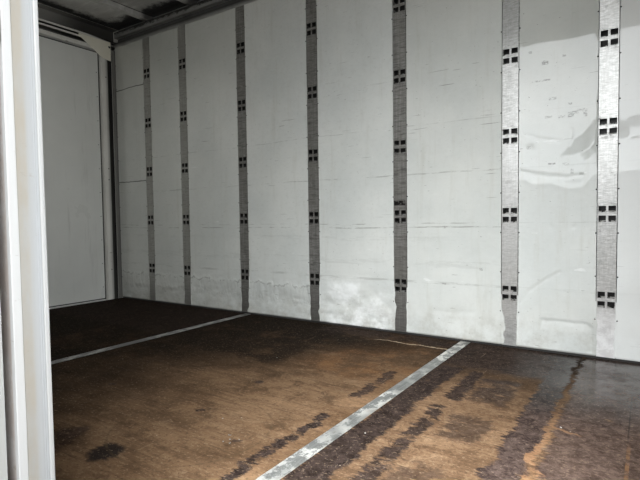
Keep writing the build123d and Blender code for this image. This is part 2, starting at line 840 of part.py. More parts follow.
# Marker lamps: amber at the front's top corners, red in a row on the rear header
lamp_z = floor_top + roof_underside - lamp_drop
lamp_groups = (
    # name, face's place along the body, way it faces, places across the body
    ("amber_lamps", front_x + outer_t, 1, (lamp_pitch - half_width, half_width - lamp_pitch)),
    ("red_lamps", portal_back, -1, (-half_width + lamp_pitch / 2, -lamp_pitch, 0.0, lamp_pitch,
                                    half_width - lamp_pitch / 2)),
)
for lamp_name, face_x, way, places in lamp_groups:
    with BuildPart() as lamps:
        with BuildSketch(Plane(origin=(face_x, 0, lamp_z), x_dir=(0, 1, 0), z_dir=(way, 0, 0))):
            with Locations(*[(place, 0) for place in places]):
                Rectangle(lamp_wide, lamp_high)
        extrude(amount=lamp_deep)
        outer_faces = lamps.faces().sort_by(Axis.X)
        chosen = outer_faces[-len(places):] if way > 0 else outer_faces[:len(places)]
        chamfer(chosen.edges(), length=lamp_bevel)
    lamps.part.label = lamp_name
    export_step(lamps.part, f"parts/{lamp_name}.step")
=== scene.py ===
import json
import math

import bmesh
import bpy
from mathutils import Matrix, Vector, noise


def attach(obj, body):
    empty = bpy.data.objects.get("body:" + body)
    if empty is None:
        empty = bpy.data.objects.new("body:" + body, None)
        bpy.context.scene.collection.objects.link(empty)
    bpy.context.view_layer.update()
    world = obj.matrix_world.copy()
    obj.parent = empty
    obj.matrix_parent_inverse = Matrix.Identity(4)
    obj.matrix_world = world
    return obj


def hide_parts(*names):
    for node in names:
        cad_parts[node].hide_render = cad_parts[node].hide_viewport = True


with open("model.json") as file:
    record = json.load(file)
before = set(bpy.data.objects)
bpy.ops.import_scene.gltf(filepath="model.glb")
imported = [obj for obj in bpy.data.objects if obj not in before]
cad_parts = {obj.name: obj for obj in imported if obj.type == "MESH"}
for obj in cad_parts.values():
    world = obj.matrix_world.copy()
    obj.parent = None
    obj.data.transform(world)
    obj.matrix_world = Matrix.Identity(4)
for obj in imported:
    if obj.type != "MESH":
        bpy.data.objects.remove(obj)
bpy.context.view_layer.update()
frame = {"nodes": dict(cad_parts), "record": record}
scene = bpy.context.scene
nodes = frame["nodes"]

# Sizes in metres. +X points towards the cab, +Y to the left side, z = 0 is the ground.
FLOOR = 0.257
HALF = 1.19
REAR, FRONT = -3.1, 3.1
PORTAL_X = -3.06
PORTAL_BACK = -3.154
WALL = 0.058                  # thickness of the walls
OUTER = 0.062                 # outside of the bottom and top rails
DOORWAY_HIGH = 2.508
DOORWAY = (0.12, 1.88)
POSTS = (-2.571, -2.074, -1.3737, -0.6734, 0.0269, 0.7272, 1.2242, 1.9245, 2.4215)
RIGHT_POSTS = (-2.571, -2.074, -1.3737, -0.6734, 2.4215)
FRONT_POSTS = (-0.6, 0, 0.6)
# Groups of lashing holes, the two rows of holes in a group, and roof bows from the rear
LASH_FIRST, LASH_STEP, HOLE_STEP = 0.326, 0.4625, 0.052
BOW_FIRST, BOW_STEP, BOW_WIDE = 0.555, 0.6, 0.05


# ---------------------------------------------------------------- materials

class Finish:
    """A material built from nodes. Its helpers take and return sockets or plain values."""

    def __init__(self, name):
        self.material = bpy.data.materials.new(name)
        self.material.use_nodes = True
        self.tree = self.material.node_tree
        self.shader = self.tree.nodes["Principled BSDF"]
        self.place = self.node("TexCoord").outputs["Object"]
        self.x, self.y, self.z = self.node("SeparateXYZ", [(0, self.place)]).outputs
        self.rise = self.add(self.z, -FLOOR)
        self.colour = (0.5, 0.5, 0.5)

    def feed(self, node, inputs):
        for name, value in inputs:
            socket = node.inputs[name]
            if isinstance(value, bpy.types.NodeSocket):
                self.tree.links.new(value, socket)
            elif isinstance(value, tuple) and len(socket.default_value) == 4:
                socket.default_value = (*value, 1)
            else:
                socket.default_value = value
        return node

    def node(self, kind, inputs=(), **settings):
        """A new node with its settings, fed with (input, value) pairs."""
        node = self.tree.nodes.new("ShaderNode" + kind)
        for name, value in settings.items():
            setattr(node, name, value)
        return self.feed(node, inputs)

    def math(self, operation, first, second=0):
        return self.node("Math", [(0, first), (1, second)], operation=operation).outputs[0]

    def chain(self, operation, values):
        result = values[0]
        for value in values[1:]:
            result = self.math(operation, result, value)
        return result

    def add(self, *values):
        return self.chain("ADD", values)

    def times(self, *values):
        return self.chain("MULTIPLY", values)

    def most(self, *values):
        return self.chain("MAXIMUM", values)

    def less(self, first, second):
        return self.math("SUBTRACT", first, second)

    def rest(self, value):
        return self.less(1, value)

    def absolute(self, value):
        return self.math("ABSOLUTE", value)

    def phase(self, value, step):
        """How far a value stands between two multiples of a step, from 0 to 1."""
        return self.math("FRACT", self.math("DIVIDE", value, step))

    def away(self, x, y, middle_x, middle_y):
        """Distance from a point of the floor."""
        across = self.math("POWER", self.add(x, -middle_x), 2)
        along = self.math("POWER", self.add(y, -middle_y), 2)
        return self.math("SQRT", self.add(across, along))

    def stretched(self, factors, shift):
        """Object coordinates, multiplied and shifted along each axis."""
        return self.node("Mapping", [("Vector", self.place), ("Scale", factors),
                                     ("Location", shift)]).outputs[0]

    def noise(self, scale, detail=3, rough=0.55, factors=(1, 1, 1), shift=(0, 0, 0), warp=0):
        inputs = [("Vector", self.stretched(factors, shift)), ("Scale", scale), ("Detail", detail),
                  ("Roughness", rough), ("Distortion", warp)]
        return self.node("TexNoise", inputs).outputs["Fac"]

    def wave(self, size, *pattern, **more):
        """Noise that swings about zero."""
        return self.times(self.add(self.noise(*pattern, **more), -0.5), size)

    def cells(self, scale, factors, shift):
        inputs = [("Vector", self.stretched(factors, shift)), ("Scale", scale)]
        return self.node("TexVoronoi", inputs).outputs["Distance"]

    def ramp(self, value, low, high, end=1, start=0):
        """Value from low to high becomes start to end, smoothly."""
        inputs = [("Value", value), ("From Min", low), ("From Max", high), ("To Min", start), ("To Max", end)]
        return self.node("MapRange", inputs, interpolation_type="SMOOTHSTEP").outputs[0]

    def band(self, value, low, high, soft, amount=1):
        """The amount between low and high, falling to 0 over the soft distance outside."""
        rise = self.ramp(value, low - soft, low)
        return self.times(rise, self.ramp(value, high, high + soft, 0, amount))

    def mix(self, factor, first, second, blend="MIX"):
        inputs = [(0, factor), (6, first), (7, second)]
        return self.node("Mix", inputs, data_type="RGBA", blend_type=blend).outputs[2]

    def blend(self, first, second, *ramp):
        """From the first colour to the second along a ramp."""
        return self.mix(self.ramp(*ramp), first, second)

    def over(self, tint, *factors):
        """Lay a tint over the colour, by the product of the factors."""
        self.colour = self.mix(self.times(*factors), self.colour, tint)

    def tint(self, tint, *ramp):
        """Lay a tint over the colour along a ramp."""
        self.over(tint, self.ramp(*ramp))

    def bump(self, height, distance, strength=1, below=None):
        inputs = [("Height", height), ("Distance", distance), ("Strength", strength)]
        return self.node("Bump", inputs + ([("Normal", below)] if below else [])).outputs[0]

    def done(self, roughness, metallic=0, normal=None, specular=0.5, coat=0, coat_rough=0.08):
        inputs = [("Base Color", self.colour), ("Roughness", roughness), ("Metallic", metallic),
                  ("Specular IOR Level", specular), ("Coat Weight", coat), ("Coat Roughness", coat_rough)]
        self.feed(self.shader, inputs + ([("Normal", normal)] if normal else []))
        return self.material


# Lines that loads wore along the wall: height, half width, amount
RUBS = (
    (0.715, 0.0015, 0.8), (0.74, 0.001, 0.6), (0.36, 0.006, 0.35), (1.062, 0.002, 0.5),
    (1.38, 0.001, 0.4), (0.64, 0.012, 0.12), (0.48, 0.02, 0.14),
)

# Black marks between the two posts beside the doorway: x, height, half width, half height, amount
SMEARS = (
    (1.046, 1.337, 0.012, 0.012, 0.9), (1.068, 1.346, 0.014, 0.006, 0.8), (1.094, 1.357, 0.016, 0.005, 0.7),
    (1.116, 1.338, 0.006, 0.018, 0.8), (0.933, 1.337, 0.016, 0.004, 0.7), (1, 1.331, 0.014, 0.005, 0.7),
    (0.828, 1.174, 0.008, 0.006, 0.8), (1.022, 1.068, 0.014, 0.006, 0.5), (1.054, 1.026, 0.005, 0.012, 0.6),
    (1.1, 1.012, 0.008, 0.005, 0.6), (0.913, 1.642, 0.014, 0.01, 1), (0.893, 1.544, 0.045, 0.002, 1),
    (0.953, 1.437, 0.016, 0.006, 0.7), (1.041, 1.397, 0.007, 0.004, 0.9), (0.834, 1.712, 0.006, 0.004, 1),
    (1.01, 1.663, 0.006, 0.004, 0.8), (0.951, 1.074, 0.016, 0.003, 1), (0.331, 0.718, 0.01, 0.005, 0.8),
    (0.559, 0.461, 0.007, 0.007, 0.9), (0.326, 0.357, 0.01, 0.003, 0.7),
)


def lining_finish():
    """Semi-gloss off-white wall sheets with level scratches, smudges and a battered foot."""
    m = Finish("lining_paint")
    rise = m.rise
    cloud = m.noise(1.6, 4, 0.6)
    m.colour = m.blend((0.6, 0.62, 0.6), (0.7, 0.71, 0.68), cloud, 0.3, 0.7)
    streak = m.noise(3, 5, 0.7, (6, 6, 0.5), (3, 0, 0))
    m.tint((0.48, 0.47, 0.41), streak, 0.52, 0.75, 0.3)
    rubs = []
    wave = m.wave(0.03, 1.5, 3, 0.6, shift=(6, 0, 0))
    waved = m.add(rise, wave)
    for height, half, amount in RUBS:
        rubs.append(m.band(waved, height - half, height + half, 0.004, amount))
    worn = m.noise(14, 5, 0.75, (0.4, 0.4, 2.5), (9, 0, 2))
    rub = m.times(m.most(*rubs), m.ramp(worn, 0.46, 0.6), m.ramp(m.x, 0.55, 0.8, 0.3, 1))
    m.over((0.22, 0.22, 0.2), rub)
    # short dark scratches, most of them level
    where = m.noise(2.2, 2, 0.5, shift=(4, 0, 7))
    long_mark = m.noise(20, 2, 0.6, (0.2, 0.2, 5.5), (1, 5, 0))
    scratch = m.times(m.ramp(long_mark, 0.705, 0.735), m.ramp(where, 0.44, 0.56, 0.9))
    short_mark = m.noise(34, 2, 0.6, (0.35, 0.35, 3.6), (11, 5, 3))
    scratch = m.most(scratch, m.times(m.ramp(short_mark, 0.735, 0.765), m.ramp(where, 0.6, 0.44)))
    fleck = m.noise(75, 2, 0.6, (0.8, 0.8, 1.4), (0, 2, 3))
    specks = m.times(m.ramp(fleck, 0.725, 0.76), m.ramp(where, 0.36, 0.5, 1, 0.35))
    grit = m.ramp(m.noise(52, 4, 0.7, (1, 1, 2), (2, 0, 0)), 0.42, 0.54)
    smear = []
    for mark_x, mark_z, half_x, half_z, amount in SMEARS:
        smear.append(m.times(m.band(m.x, mark_x - half_x, mark_x + half_x, 0.006),
                             m.band(rise, mark_z - half_z, mark_z + half_z, 0.004, amount)))
    smear = m.times(m.most(*smear), grit, m.ramp(m.y, 0, 0.5))
    # darker along the lowest two centimetres of the sheets
    bottom_band = m.ramp(rise, 0.016, 0.024, 0, 1)
    scar = m.most(scratch, specks, m.times(smear, 0.85))
    m.over((0.1, 0.095, 0.085), scar, 0.85)
    m.over((0.05, 0.045, 0.04), bottom_band, 0.6)
    haze = m.noise(55, 4, 0.75, (0.6, 0.6, 1), (3, 7, 1))
    m.over((0.36, 0.35, 0.31), m.ramp(haze, 0.52, 0.66), m.ramp(m.x, -0.5, 0.3, 0.07, 0.12))
    m.tint((0.82, 0.83, 0.81), haze, 0.44, 0.34, 0.1)
    pale = m.noise(13, 3, 0.6, (0.5, 0.5, 1.4), (8, 1, 5))
    m.tint((0.86, 0.87, 0.86), pale, 0.7, 0.78, 0.5)
    # painted highlight: a lighter cloud low on the wall between the fourth and the fifth posts
    shine = m.times(m.band(m.x, -0.5, -0.1, 0.1), m.ramp(rise, 0.4, 0.28),
                    m.ramp(m.noise(6, 4, 0.6, shift=(2, 0, 9)), 0.4, 0.62, 0.85))
    m.over((0.93, 0.94, 0.93), shine)
    # dirt at the foot of the wall
    foot = m.times(m.ramp(rise, 0.02, 0.3, 0, 1), m.ramp(m.noise(9, 5, 0.7), 0.35, 0.75))
    m.over((0.3, 0.27, 0.22), foot, 0.5)
    # painted shade with some grime: the rear and the top are darker than the part beside the doorway, where
    # less daylight reaches
    top_shade = m.add(0.3, m.band(m.x, -1.3, -0.05, 0.1, -0.24), m.ramp(m.x, 0, 0.2, 0.07))
    grime = m.add(m.ramp(m.x, -3, -0.2, 0, 0.22), m.times(m.ramp(rise, 1.4, 2.5), top_shade),
                  m.band(m.x, 0.06, 0.68, 0.04, 0.1), m.ramp(m.x, -2, -2.3, 0.06),
                  m.times(m.ramp(m.x, 0.7, 0.8), m.ramp(rise, 1.35, 1.8, 0.22)),
                  m.times(m.band(m.x, -2.6, -1.4, 0.1), m.ramp(rise, 1.7, 1.3, 0.06)))
    m.over((0.3, 0.3, 0.26), grime)
    m.tint((0.86, 0.87, 0.86), m.x, 1.2, 1.28, 0.6)
    # painted shadow in the gap at the rear corner, and dark joints between the sheets of the rear bay
    corner = m.band(m.x, -3.07, -3.052, 0.002)
    sag = m.wave(0.03, 4, 3, 0.6, shift=(1, 0, 0))
    joint = m.times(m.most(m.band(m.add(rise, sag), 1.166, 1.172, 0.003),
                           m.band(m.add(rise, sag), 2.081, 2.087, 0.003)), m.ramp(m.x, -2.622, -2.62, 0, 1))
    m.over((0.05, 0.05, 0.045), m.most(m.times(corner, 0.85), m.times(joint, 0.75)))
    # painted shade: a dark ragged line along the crease low on the wall, from the fourth post to the rear
    torn = m.add(rise, m.wave(0.12, 11, 4, 0.7, (1, 1, 0.3), (3, 0, 0)))
    edge = m.times(m.band(torn, 0.262, 0.268, 0.006), m.ramp(m.x, -0.62, -0.68),
                   m.ramp(m.noise(16, 3, 0.6, (1, 1, 0.5)), 0.42, 0.55))
    m.over((0.12, 0.115, 0.1), edge, 0.4)
    matt = m.most(m.times(rub, 0.3), m.times(foot, 0.25), m.times(scar, 0.3))
    gloss = m.times(m.ramp(cloud, 0.3, 0.7, 1, 0.7), m.ramp(m.x, 0.3, 0.85, 0.014, 0.085))
    rough = m.add(gloss, matt)
    # knocks: broad waves everywhere, sharp creases low down
    dent = m.bump(m.noise(3.4, 2, 0.5, (0.6, 0.6, 1)), 0.0015, 0.3)
    ridge = m.absolute(m.add(m.noise(5, 3, 0.55, (0.7, 0.7, 1), (0, 0, 4), 0.6), -0.5))
    low = m.times(m.ramp(waved, 0.24, 0.38, 0, 1), m.ramp(m.x, -0.02, 0.06, 0, 1))
    crease = m.times(m.ramp(ridge, 0, 0.12), low)
    dent = m.bump(crease, 0.006, 0.18, dent)
    ripple = m.times(m.noise(26, 2, 0.5, (1, 1, 0.3), (7, 0, 0)), m.band(torn, 0.17, 0.25, 0.05),
                     m.ramp(m.x, -0.62, -0.68))
    dent = m.bump(ripple, 0.01, 0.9, dent)
    return m.done(rough, 0, dent, specular=0.7)


def post_finish():
    """Zinc coated posts: brushed streaks, level scratches, dirt at the lashing holes."""
    m = Finish("post_metal")
    rise = m.rise
    up = m.noise(60, 4, 0.7, (1.5, 1.5, 0.06))
    level = m.noise(40, 4, 0.75, (0.3, 0.3, 5), (2, 0, 1))
    cloud = m.noise(3.2, 4, 0.65, (1, 1, 0.6))
    mottle = m.noise(26, 5, 0.75, (0.8, 0.8, 1), (0, 3, 0))
    m.colour = m.blend((0.27, 0.26, 0.245), (0.4, 0.39, 0.37), up, 0.3, 0.7)
    m.tint((0.11, 0.107, 0.1), level, 0.48, 0.62, 0.7)
    m.tint((0.56, 0.55, 0.52), level, 0.42, 0.3, 0.5)
    m.tint((0.21, 0.205, 0.18), cloud, 0.35, 0.7, 0.45)
    m.tint((0.09, 0.087, 0.08), mottle, 0.54, 0.66, 0.4)
    m.tint((0.52, 0.51, 0.48), mottle, 0.42, 0.32, 0.4)
    # painted reflection: the posts beside the doorway are lighter, as though they mirror the daylight of the
    # doorway, with their own wear and scratches kept
    doorway_reflection = m.times(m.ramp(m.x, 0.35, 0.6), m.ramp(m.y, 0, 0.5))
    wear = m.ramp(m.noise(90, 5, 0.8, (0.3, 0.3, 1.5), (5, 0, 0)), 0.3, 0.7)
    weave = m.ramp(m.noise(120, 2, 0.6, (1.4, 1.4, 0.12), (0, 2, 0)), 0.35, 0.65, 0.3)
    bright = m.mix(wear, (0.76, 0.755, 0.74), (0.4, 0.396, 0.38))
    bright = m.mix(weave, bright, (0.34, 0.335, 0.32))
    nick = m.ramp(m.noise(60, 2, 0.6, (0.5, 0.5, 1.6), (6, 0, 2)), 0.72, 0.76)
    bright = m.mix(nick, bright, (0.2, 0.195, 0.185))
    patchy = m.noise(7, 4, 0.7, (1.5, 1.5, 1), (1, 0, 5))
    bright = m.blend(bright, (0.44, 0.43, 0.415), patchy, 0.5, 0.7, 0.4)
    bright = m.blend(bright, (0.26, 0.255, 0.24), mottle, 0.56, 0.66, 0.5)
    # the painted reflection on the sixth post fades at its top and is lightest on its lower part
    dull = m.most(m.ramp(rise, 1.62, 1.86, 0.55), m.ramp(rise, 0.62, 0.3, 0.05))
    dull = m.times(m.ramp(m.x, 1.1, 1), dull)
    bright = m.mix(dull, bright, (0.12, 0.118, 0.108))
    bright = m.mix(m.times(m.ramp(m.x, 1.1, 1), m.ramp(rise, 1.45, 1.2, 0.22)), bright, (0.84, 0.835, 0.82))
    m.over(bright, doorway_reflection, 0.92)
    # dark rubbed patches above and below each group of holes
    phase = m.phase(m.add(rise, LASH_STEP / 2 - LASH_FIRST), LASH_STEP)
    near = m.band(phase, 0.4, 0.6, 0.08)
    soot = m.times(near, m.ramp(m.noise(34, 4, 0.7), 0.52, 0.7))
    m.over((0.06, 0.055, 0.05), soot, 0.4)
    blot = m.times(m.band(m.x, -0.06, 0.06, 0.01), m.band(rise, 0.868, 0.892, 0.008),
                   m.ramp(mottle, 0.43, 0.49))
    m.over((0.02, 0.019, 0.018), blot)
    foot = m.ramp(rise, 0, 0.42, 0, 0.6)
    m.over((0.14, 0.13, 0.12), foot, m.ramp(m.x, 0.35, 0.8, 0, 1))
    low = m.times(m.ramp(rise, 0.5, 0.05), m.ramp(m.x, 1.1, 1.17))
    stained = m.blend((0.88, 0.875, 0.87), (0.7, 0.685, 0.68), mottle, 0.4, 0.62)
    m.over(stained, low, 0.85)
    # painted shade: the inside of a post is dark, with painted patches of light where daylight through the
    # holes would fall
    deep = m.most(m.ramp(m.absolute(m.y), HALF + 0.0032, HALF + 0.01),
                  m.ramp(m.x, FRONT + 0.0032, FRONT + 0.01))
    m.tint((0.52, 0.52, 0.48), m.x, -1.7, -2, 0.35)
    pair = m.phase(m.add(rise, 4.5 * HOLE_STEP - LASH_FIRST), HOLE_STEP)
    painted_hole_light = m.times(m.band(pair, 0.52, 0.7, 0.06), m.ramp(m.noise(42, 3, 0.7, (1, 1, 1.4)), 0.44, 0.52),
                  m.ramp(m.x, -0.8, 0.9, 1, 0.25))
    inner = m.mix(painted_hole_light, (0.012, 0.011, 0.01), (0.5, 0.49, 0.46))
    m.over(inner, deep)
    shine = m.ramp(m.x, 0.35, 0.6, 0.06)
    rough = m.add(m.ramp(level, 0.3, 0.7, 0.48, 0.34), m.times(soot, 0.2))
    rough = m.less(rough, shine)
    normal = m.bump(level, 0.0006, 0.5, m.bump(up, 0.0004, 0.4))
    metallic = m.times(m.rest(m.most(deep, m.times(low, 0.8))), 0.6)
    return m.done(rough, metallic, normal, specular=0.4)


# Round spots on the floor, oil and worn bolt places: x, y, radius, amount
SPOTS = (
    (-0.125, -0.899, 0.075, 0.9), (-0.365, -0.87, 0.07, 0.7), (-0.131, -0.467, 0.024, 0.9),
    (-0.136, -0.066, 0.03, 0.9), (-0.729, -0.462, 0.026, 0.8), (0.2, -0.6, 0.022, 0.8),
)


def floor_finish():
    """Worn resin coated plywood: brown where it is rubbed bare, dark where tar and dirt stay."""
    m = Finish("floor_plywood")
    grain = m.noise(26, 6, 0.75, (0.16, 2.2, 1))
    wave_x = m.wave(0.1, 7, 5, 0.7, shift=(2, 0, 0))
    wave_y = m.wave(0.22, 6, 5, 0.7, shift=(0, 6, 0))
    x = m.add(m.x, wave_x, m.times(m.add(grain, -0.5), 0.1))
    y = m.add(m.y, wave_y)
    blotch = m.noise(2.1, 5, 0.68, (0.8, 1.2, 1), (1.5, 0.3, 0))
    fine = m.noise(34, 5, 0.75, (0.5, 1.4, 1), (0, 4, 0))
    mottle = m.noise(8, 6, 0.78, (0.7, 1.1, 1), (5, 2, 0))
    wood = m.blend((0.066, 0.038, 0.02), (0.16, 0.098, 0.055), blotch, 0.32, 0.68)
    wood = m.blend(wood, (0.05, 0.03, 0.018), grain, 0.4, 0.72, 0.55)
    wood = m.blend(wood, (0.25, 0.165, 0.1), fine, 0.55, 0.75, 0.5)
    wood = m.blend(wood, (0.04, 0.023, 0.013), mottle, 0.5, 0.66, 0.55)
    wood = m.blend(wood, (0.22, 0.145, 0.088), mottle, 0.46, 0.34, 0.4)
    # lighter towards the front and darker towards the rear, a little darker on the right side
    floor_tone = m.times(m.add(m.ramp(m.x, -1.2, 0.2, 1.15, 0.5), m.ramp(m.x, 0.22, 0.4, 0.5)),
                     m.ramp(m.y, -0.95, 0.15, 1, 0.88))
    wood = m.mix(1, wood, floor_tone, "MULTIPLY")
    dabs = m.ramp(m.noise(5, 6, 0.72, (0.8, 1, 1), (6, 6, 0), 0.8), 0.52, 0.64, 0.6)
    wood = m.mix(m.times(dabs, m.ramp(m.y, -0.7, -0.1, 1, 0.35)), wood, (0.036, 0.021, 0.012))
    # the board at the doorway is worn to lighter, more orange wood
    fore = m.band(x, 0.5, 1.02, 0.05)
    tan = m.blend((0.224, 0.139, 0.08), (0.117, 0.069, 0.039), grain, 0.28, 0.72)
    scuffed = m.noise(15, 6, 0.8, (1, 0.8, 1), (2, 9, 0), 0.7)
    tan = m.blend(tan, (0.07, 0.04, 0.022), scuffed, 0.5, 0.6, 0.7)
    tan = m.blend(tan, (0.36, 0.245, 0.15), scuffed, 0.45, 0.36, 0.5)
    tan = m.blend(tan, (0.095, 0.055, 0.03), mottle, 0.46, 0.6, 0.6)
    tan = m.mix(1, tan, m.ramp(m.y, -0.6, 0.1, 1, 0.72), "MULTIPLY")
    wood = m.mix(m.times(fore, 0.85), wood, tan)
    ember = m.times(m.band(x, -0.05, 0.46, 0.15), m.ramp(y, 0.1, 0.35),
                    m.ramp(m.noise(4, 5, 0.7, shift=(8, 3, 0)), 0.42, 0.6, 0.8, 0.15))
    wood = m.mix(ember, wood, (0.19, 0.098, 0.045))
    ragged = m.noise(12, 6, 0.75, (0.5, 1, 1), (3, 3, 0))
    keep = m.ramp(ragged, 0.38, 0.48)
    solid = m.ramp(ragged, 0.27, 0.35)
    stains = []
    # stripes and boards with tar: x from, to, y from, to, soft edge, amount, mask
    rows = (
        (0.498, 0.61, -1.3, 0.64, 0.018, 1, solid),
        (0.68, 0.735, 0.22, 0.6, 0.012, 0.95, solid),
        (0.68, 0.73, -0.75, 0.08, 0.012, 0.95, keep),
        (0.77, 0.915, 0.27, 0.52, 0.03, 0.8, keep),
        (0.79, 0.915, -0.16, 0.02, 0.03, 0.7, keep),
        (0.77, 0.89, -0.7, -0.44, 0.035, 0.6, keep),
        (1.005, 1.098, -1.3, 1.3, 0.012, 1, solid),
        (1.14, 3.2, -1.3, 1.3, 0.02, 0.88, solid),
        (0.496, 1, 0.72, 1.3, 0.06, 0.9, solid),
        (0.328, 0.366, 0.02, 0.4, 0.012, 0.9, keep),
        (0.332, 0.368, -0.95, -0.22, 0.012, 1, keep),
        (-0.5, 0.44, 1.06, 1.3, 0.06, 0.85, keep),
        (-4, -1.38, 0.45, 1.3, 0.08, 0.45, solid),
    )
    for x0, x1, y0, y1, soft, amount, mask in rows:
        stains.append(m.times(m.band(x, x0, x1, soft), m.band(y, y0, y1, soft * 2, amount), mask))
    bent_y = m.add(m.y, m.times(wave_y, 0.3))
    for spot_x, spot_y, radius, amount in SPOTS:
        spot = m.ramp(m.away(x, bent_y, spot_x, spot_y), radius * 0.55, radius, 0, amount)
        stains.append(m.times(spot, m.ramp(fine, 0.28, 0.42)))
    stain = m.most(*stains)
    # darker towards the rear and along the left wall
    far = m.add(m.ramp(m.x, -1.6, 0.2, 0.1, 1), m.ramp(m.y, -0.2, 1.15, 0.85))
    murk = m.times(far, m.ramp(m.noise(3, 5, 0.7, shift=(7, 1, 0)), 0.26, 0.6, 1, 0.25))
    grime = m.noise(30, 6, 0.8, (0.9, 0.9, 1), (5, 8, 0), 0.5)
    tar = m.blend((0.026, 0.017, 0.015), (0.098, 0.068, 0.056), grime, 0.35, 0.66)
    # black tar behind the wide stripe, dusty grey in front of it
    dust = m.add(0.42, m.times(m.ramp(m.x, 0.98, 1.02), m.ramp(m.y, 0.42, 0.1, 0.48, -0.06)),
                 m.times(m.ramp(m.x, 1.1, 1.15), m.ramp(m.y, 0.42, 0, 0.2, 0.38)))
    tar = m.mix(1, tar, dust, "MULTIPLY")
    tar = m.blend(tar, (0.2, 0.16, 0.13), m.noise(90, 3, 0.7, shift=(1, 0, 0)), 0.62, 0.72, 0.5)
    cloud = m.times(m.band(x, -1.15, -0.35, 0.22), m.band(y, 0.25, 0.62, 0.16),
                    m.ramp(m.noise(5, 5, 0.7, shift=(2, 5, 0)), 0.28, 0.52, 0.92, 0.35))
    behind = m.times(m.ramp(m.x, -1.33, -1.4), m.ramp(mottle, 0.3, 0.6, 0.97, 0.72))
    bared = m.times(m.band(m.x, -2.45, -1.5, 0.25), m.band(m.y, -1.1, 0.25, 0.3))
    behind = m.times(behind, m.rest(m.times(bared, m.ramp(mottle, 0.62, 0.46, 0.26, 0.05))))
    foot = m.ramp(m.add(m.y, m.times(wave_y, 0.25)), 1.135, 1.175, 0.94)
    murk = m.math("MINIMUM", m.most(murk, cloud, behind, foot), 0.97)
    m.colour = m.mix(murk, wood, (0.01, 0.007, 0.005))
    m.over(tar, stain)
    oil = m.away(x, y, -0.127, -0.895)
    m.tint((0.01, 0.008, 0.007), oil, 0.04, 0.075, 0, 0.85)
    oil = m.times(m.band(x, -0.42, -0.3, 0.06), m.ramp(y, -0.8, -0.92))
    m.over((0.014, 0.008, 0.006), oil, m.ramp(fine, 0.3, 0.55, 0.85, 0.3))
    # bare orange wood beside the wide stripe, broader towards the doorway
    meander = m.noise(3.5, 4, 0.65, (0.3, 1, 1), (5, 2, 0))
    aside = m.add(m.x, m.times(wave_x, 0.7), m.times(m.add(meander, -0.5), 0.09),
                  m.times(m.add(grain, -0.5), 0.05))
    broad = m.less(aside, m.ramp(m.y, -0.16, -0.36, 0.06))
    line = m.times(m.ramp(aside, 1.099, 1.104), m.ramp(broad, 1.118, 1.128, 0, 1), m.ramp(m.y, 0.42, -0.1, 0.9),
                   m.ramp(ragged, 0.4, 0.5, 1, 0.1))
    twig = m.times(m.band(m.add(y, m.times(m.x, 0.3)), 0.44, 0.452, 0.012), m.band(m.x, 1.13, 1.2, 0.03))
    line = m.most(line, m.times(twig, m.ramp(grain, 0.35, 0.55, 0.8, 0.3)))
    bare = m.blend((0.27, 0.155, 0.085), (0.17, 0.092, 0.048), grain, 0.35, 0.65)
    m.over(bare, line)
    # the next joint between two boards
    joint = m.times(m.band(m.x, 1.3585, 1.3615, 0.0015), m.ramp(ragged, 0.3, 0.4, 1, 0.4))
    m.over((0.02, 0.016, 0.014), joint, m.ramp(m.y, 0.05, 0.25, 0.7, 0.2))
    seam = m.times(m.band(m.x, 1.36, 1.368, 0.003), m.ramp(m.y, 0.12, 0))
    m.over((0.16, 0.085, 0.042), seam, m.ramp(ragged, 0.36, 0.5, 0.75))
    split_y = m.add(m.y, m.wave(0.11, 7, 4, 0.7))
    splinter = m.times(m.band(split_y, 0.964, 0.97, 0.008), m.band(m.x, -0.02, 0.43, 0.05),
                       m.ramp(grain, 0.35, 0.55, 0.9, 0.4))
    m.over((0.48, 0.38, 0.27), splinter)
    chip = m.ramp(m.cells(9, (1, 1, 0), (0.4, 0.2, 0)), 0.034, 0.014)
    m.over((0.38, 0.33, 0.27), chip, 0.7)
    pits = m.noise(110, 3, 0.7, (0.7, 1, 1), (4, 4, 0))
    m.tint((0.03, 0.019, 0.012), pits, 0.56, 0.66, 0.5)
    m.tint((0.3, 0.22, 0.15), pits, 0.42, 0.33, 0.28)
    # fine scratches from dragged loads
    drag = m.noise(70, 2, 0.6, (0.9, 0.05, 1), (3, 1, 0))
    m.tint((0.3, 0.22, 0.15), drag, 0.69, 0.75, 0.2)
    cross = m.noise(70, 2, 0.6, (0.05, 0.9, 1), (9, 7, 0))
    m.tint((0.03, 0.02, 0.014), cross, 0.66, 0.72, 0.45)
    # a round scuff left by something turned on the spot
    ring = m.away(m.x, m.y, -0.02, -0.6)
    scuff = m.most(m.band(ring, 0.298, 0.303, 0.004), m.band(ring, 0.19, 0.193, 0.004, 0.6))
    m.over((0.05, 0.035, 0.02), scuff, m.ramp(ragged, 0.38, 0.62, 0.45))
    rough = m.ramp(fine, 0.3, 0.7, 0.94, 0.8)
    slick = m.times(m.ramp(x, 0.7, 1.15), m.ramp(y, 0.1, 0.7), stain,
                    m.ramp(m.noise(6, 5, 0.7, shift=(4, 1, 0)), 0.32, 0.55, 1, 0.55),
                    m.ramp(m.x, 1.02, 1.25, 1, 0.6))
    normal = m.bump(grain, 0.0014, 0.7, m.bump(fine, 0.001, 0.6))
    return m.done(rough, 0, normal, specular=0.04, coat=slick, coat_rough=0.17)


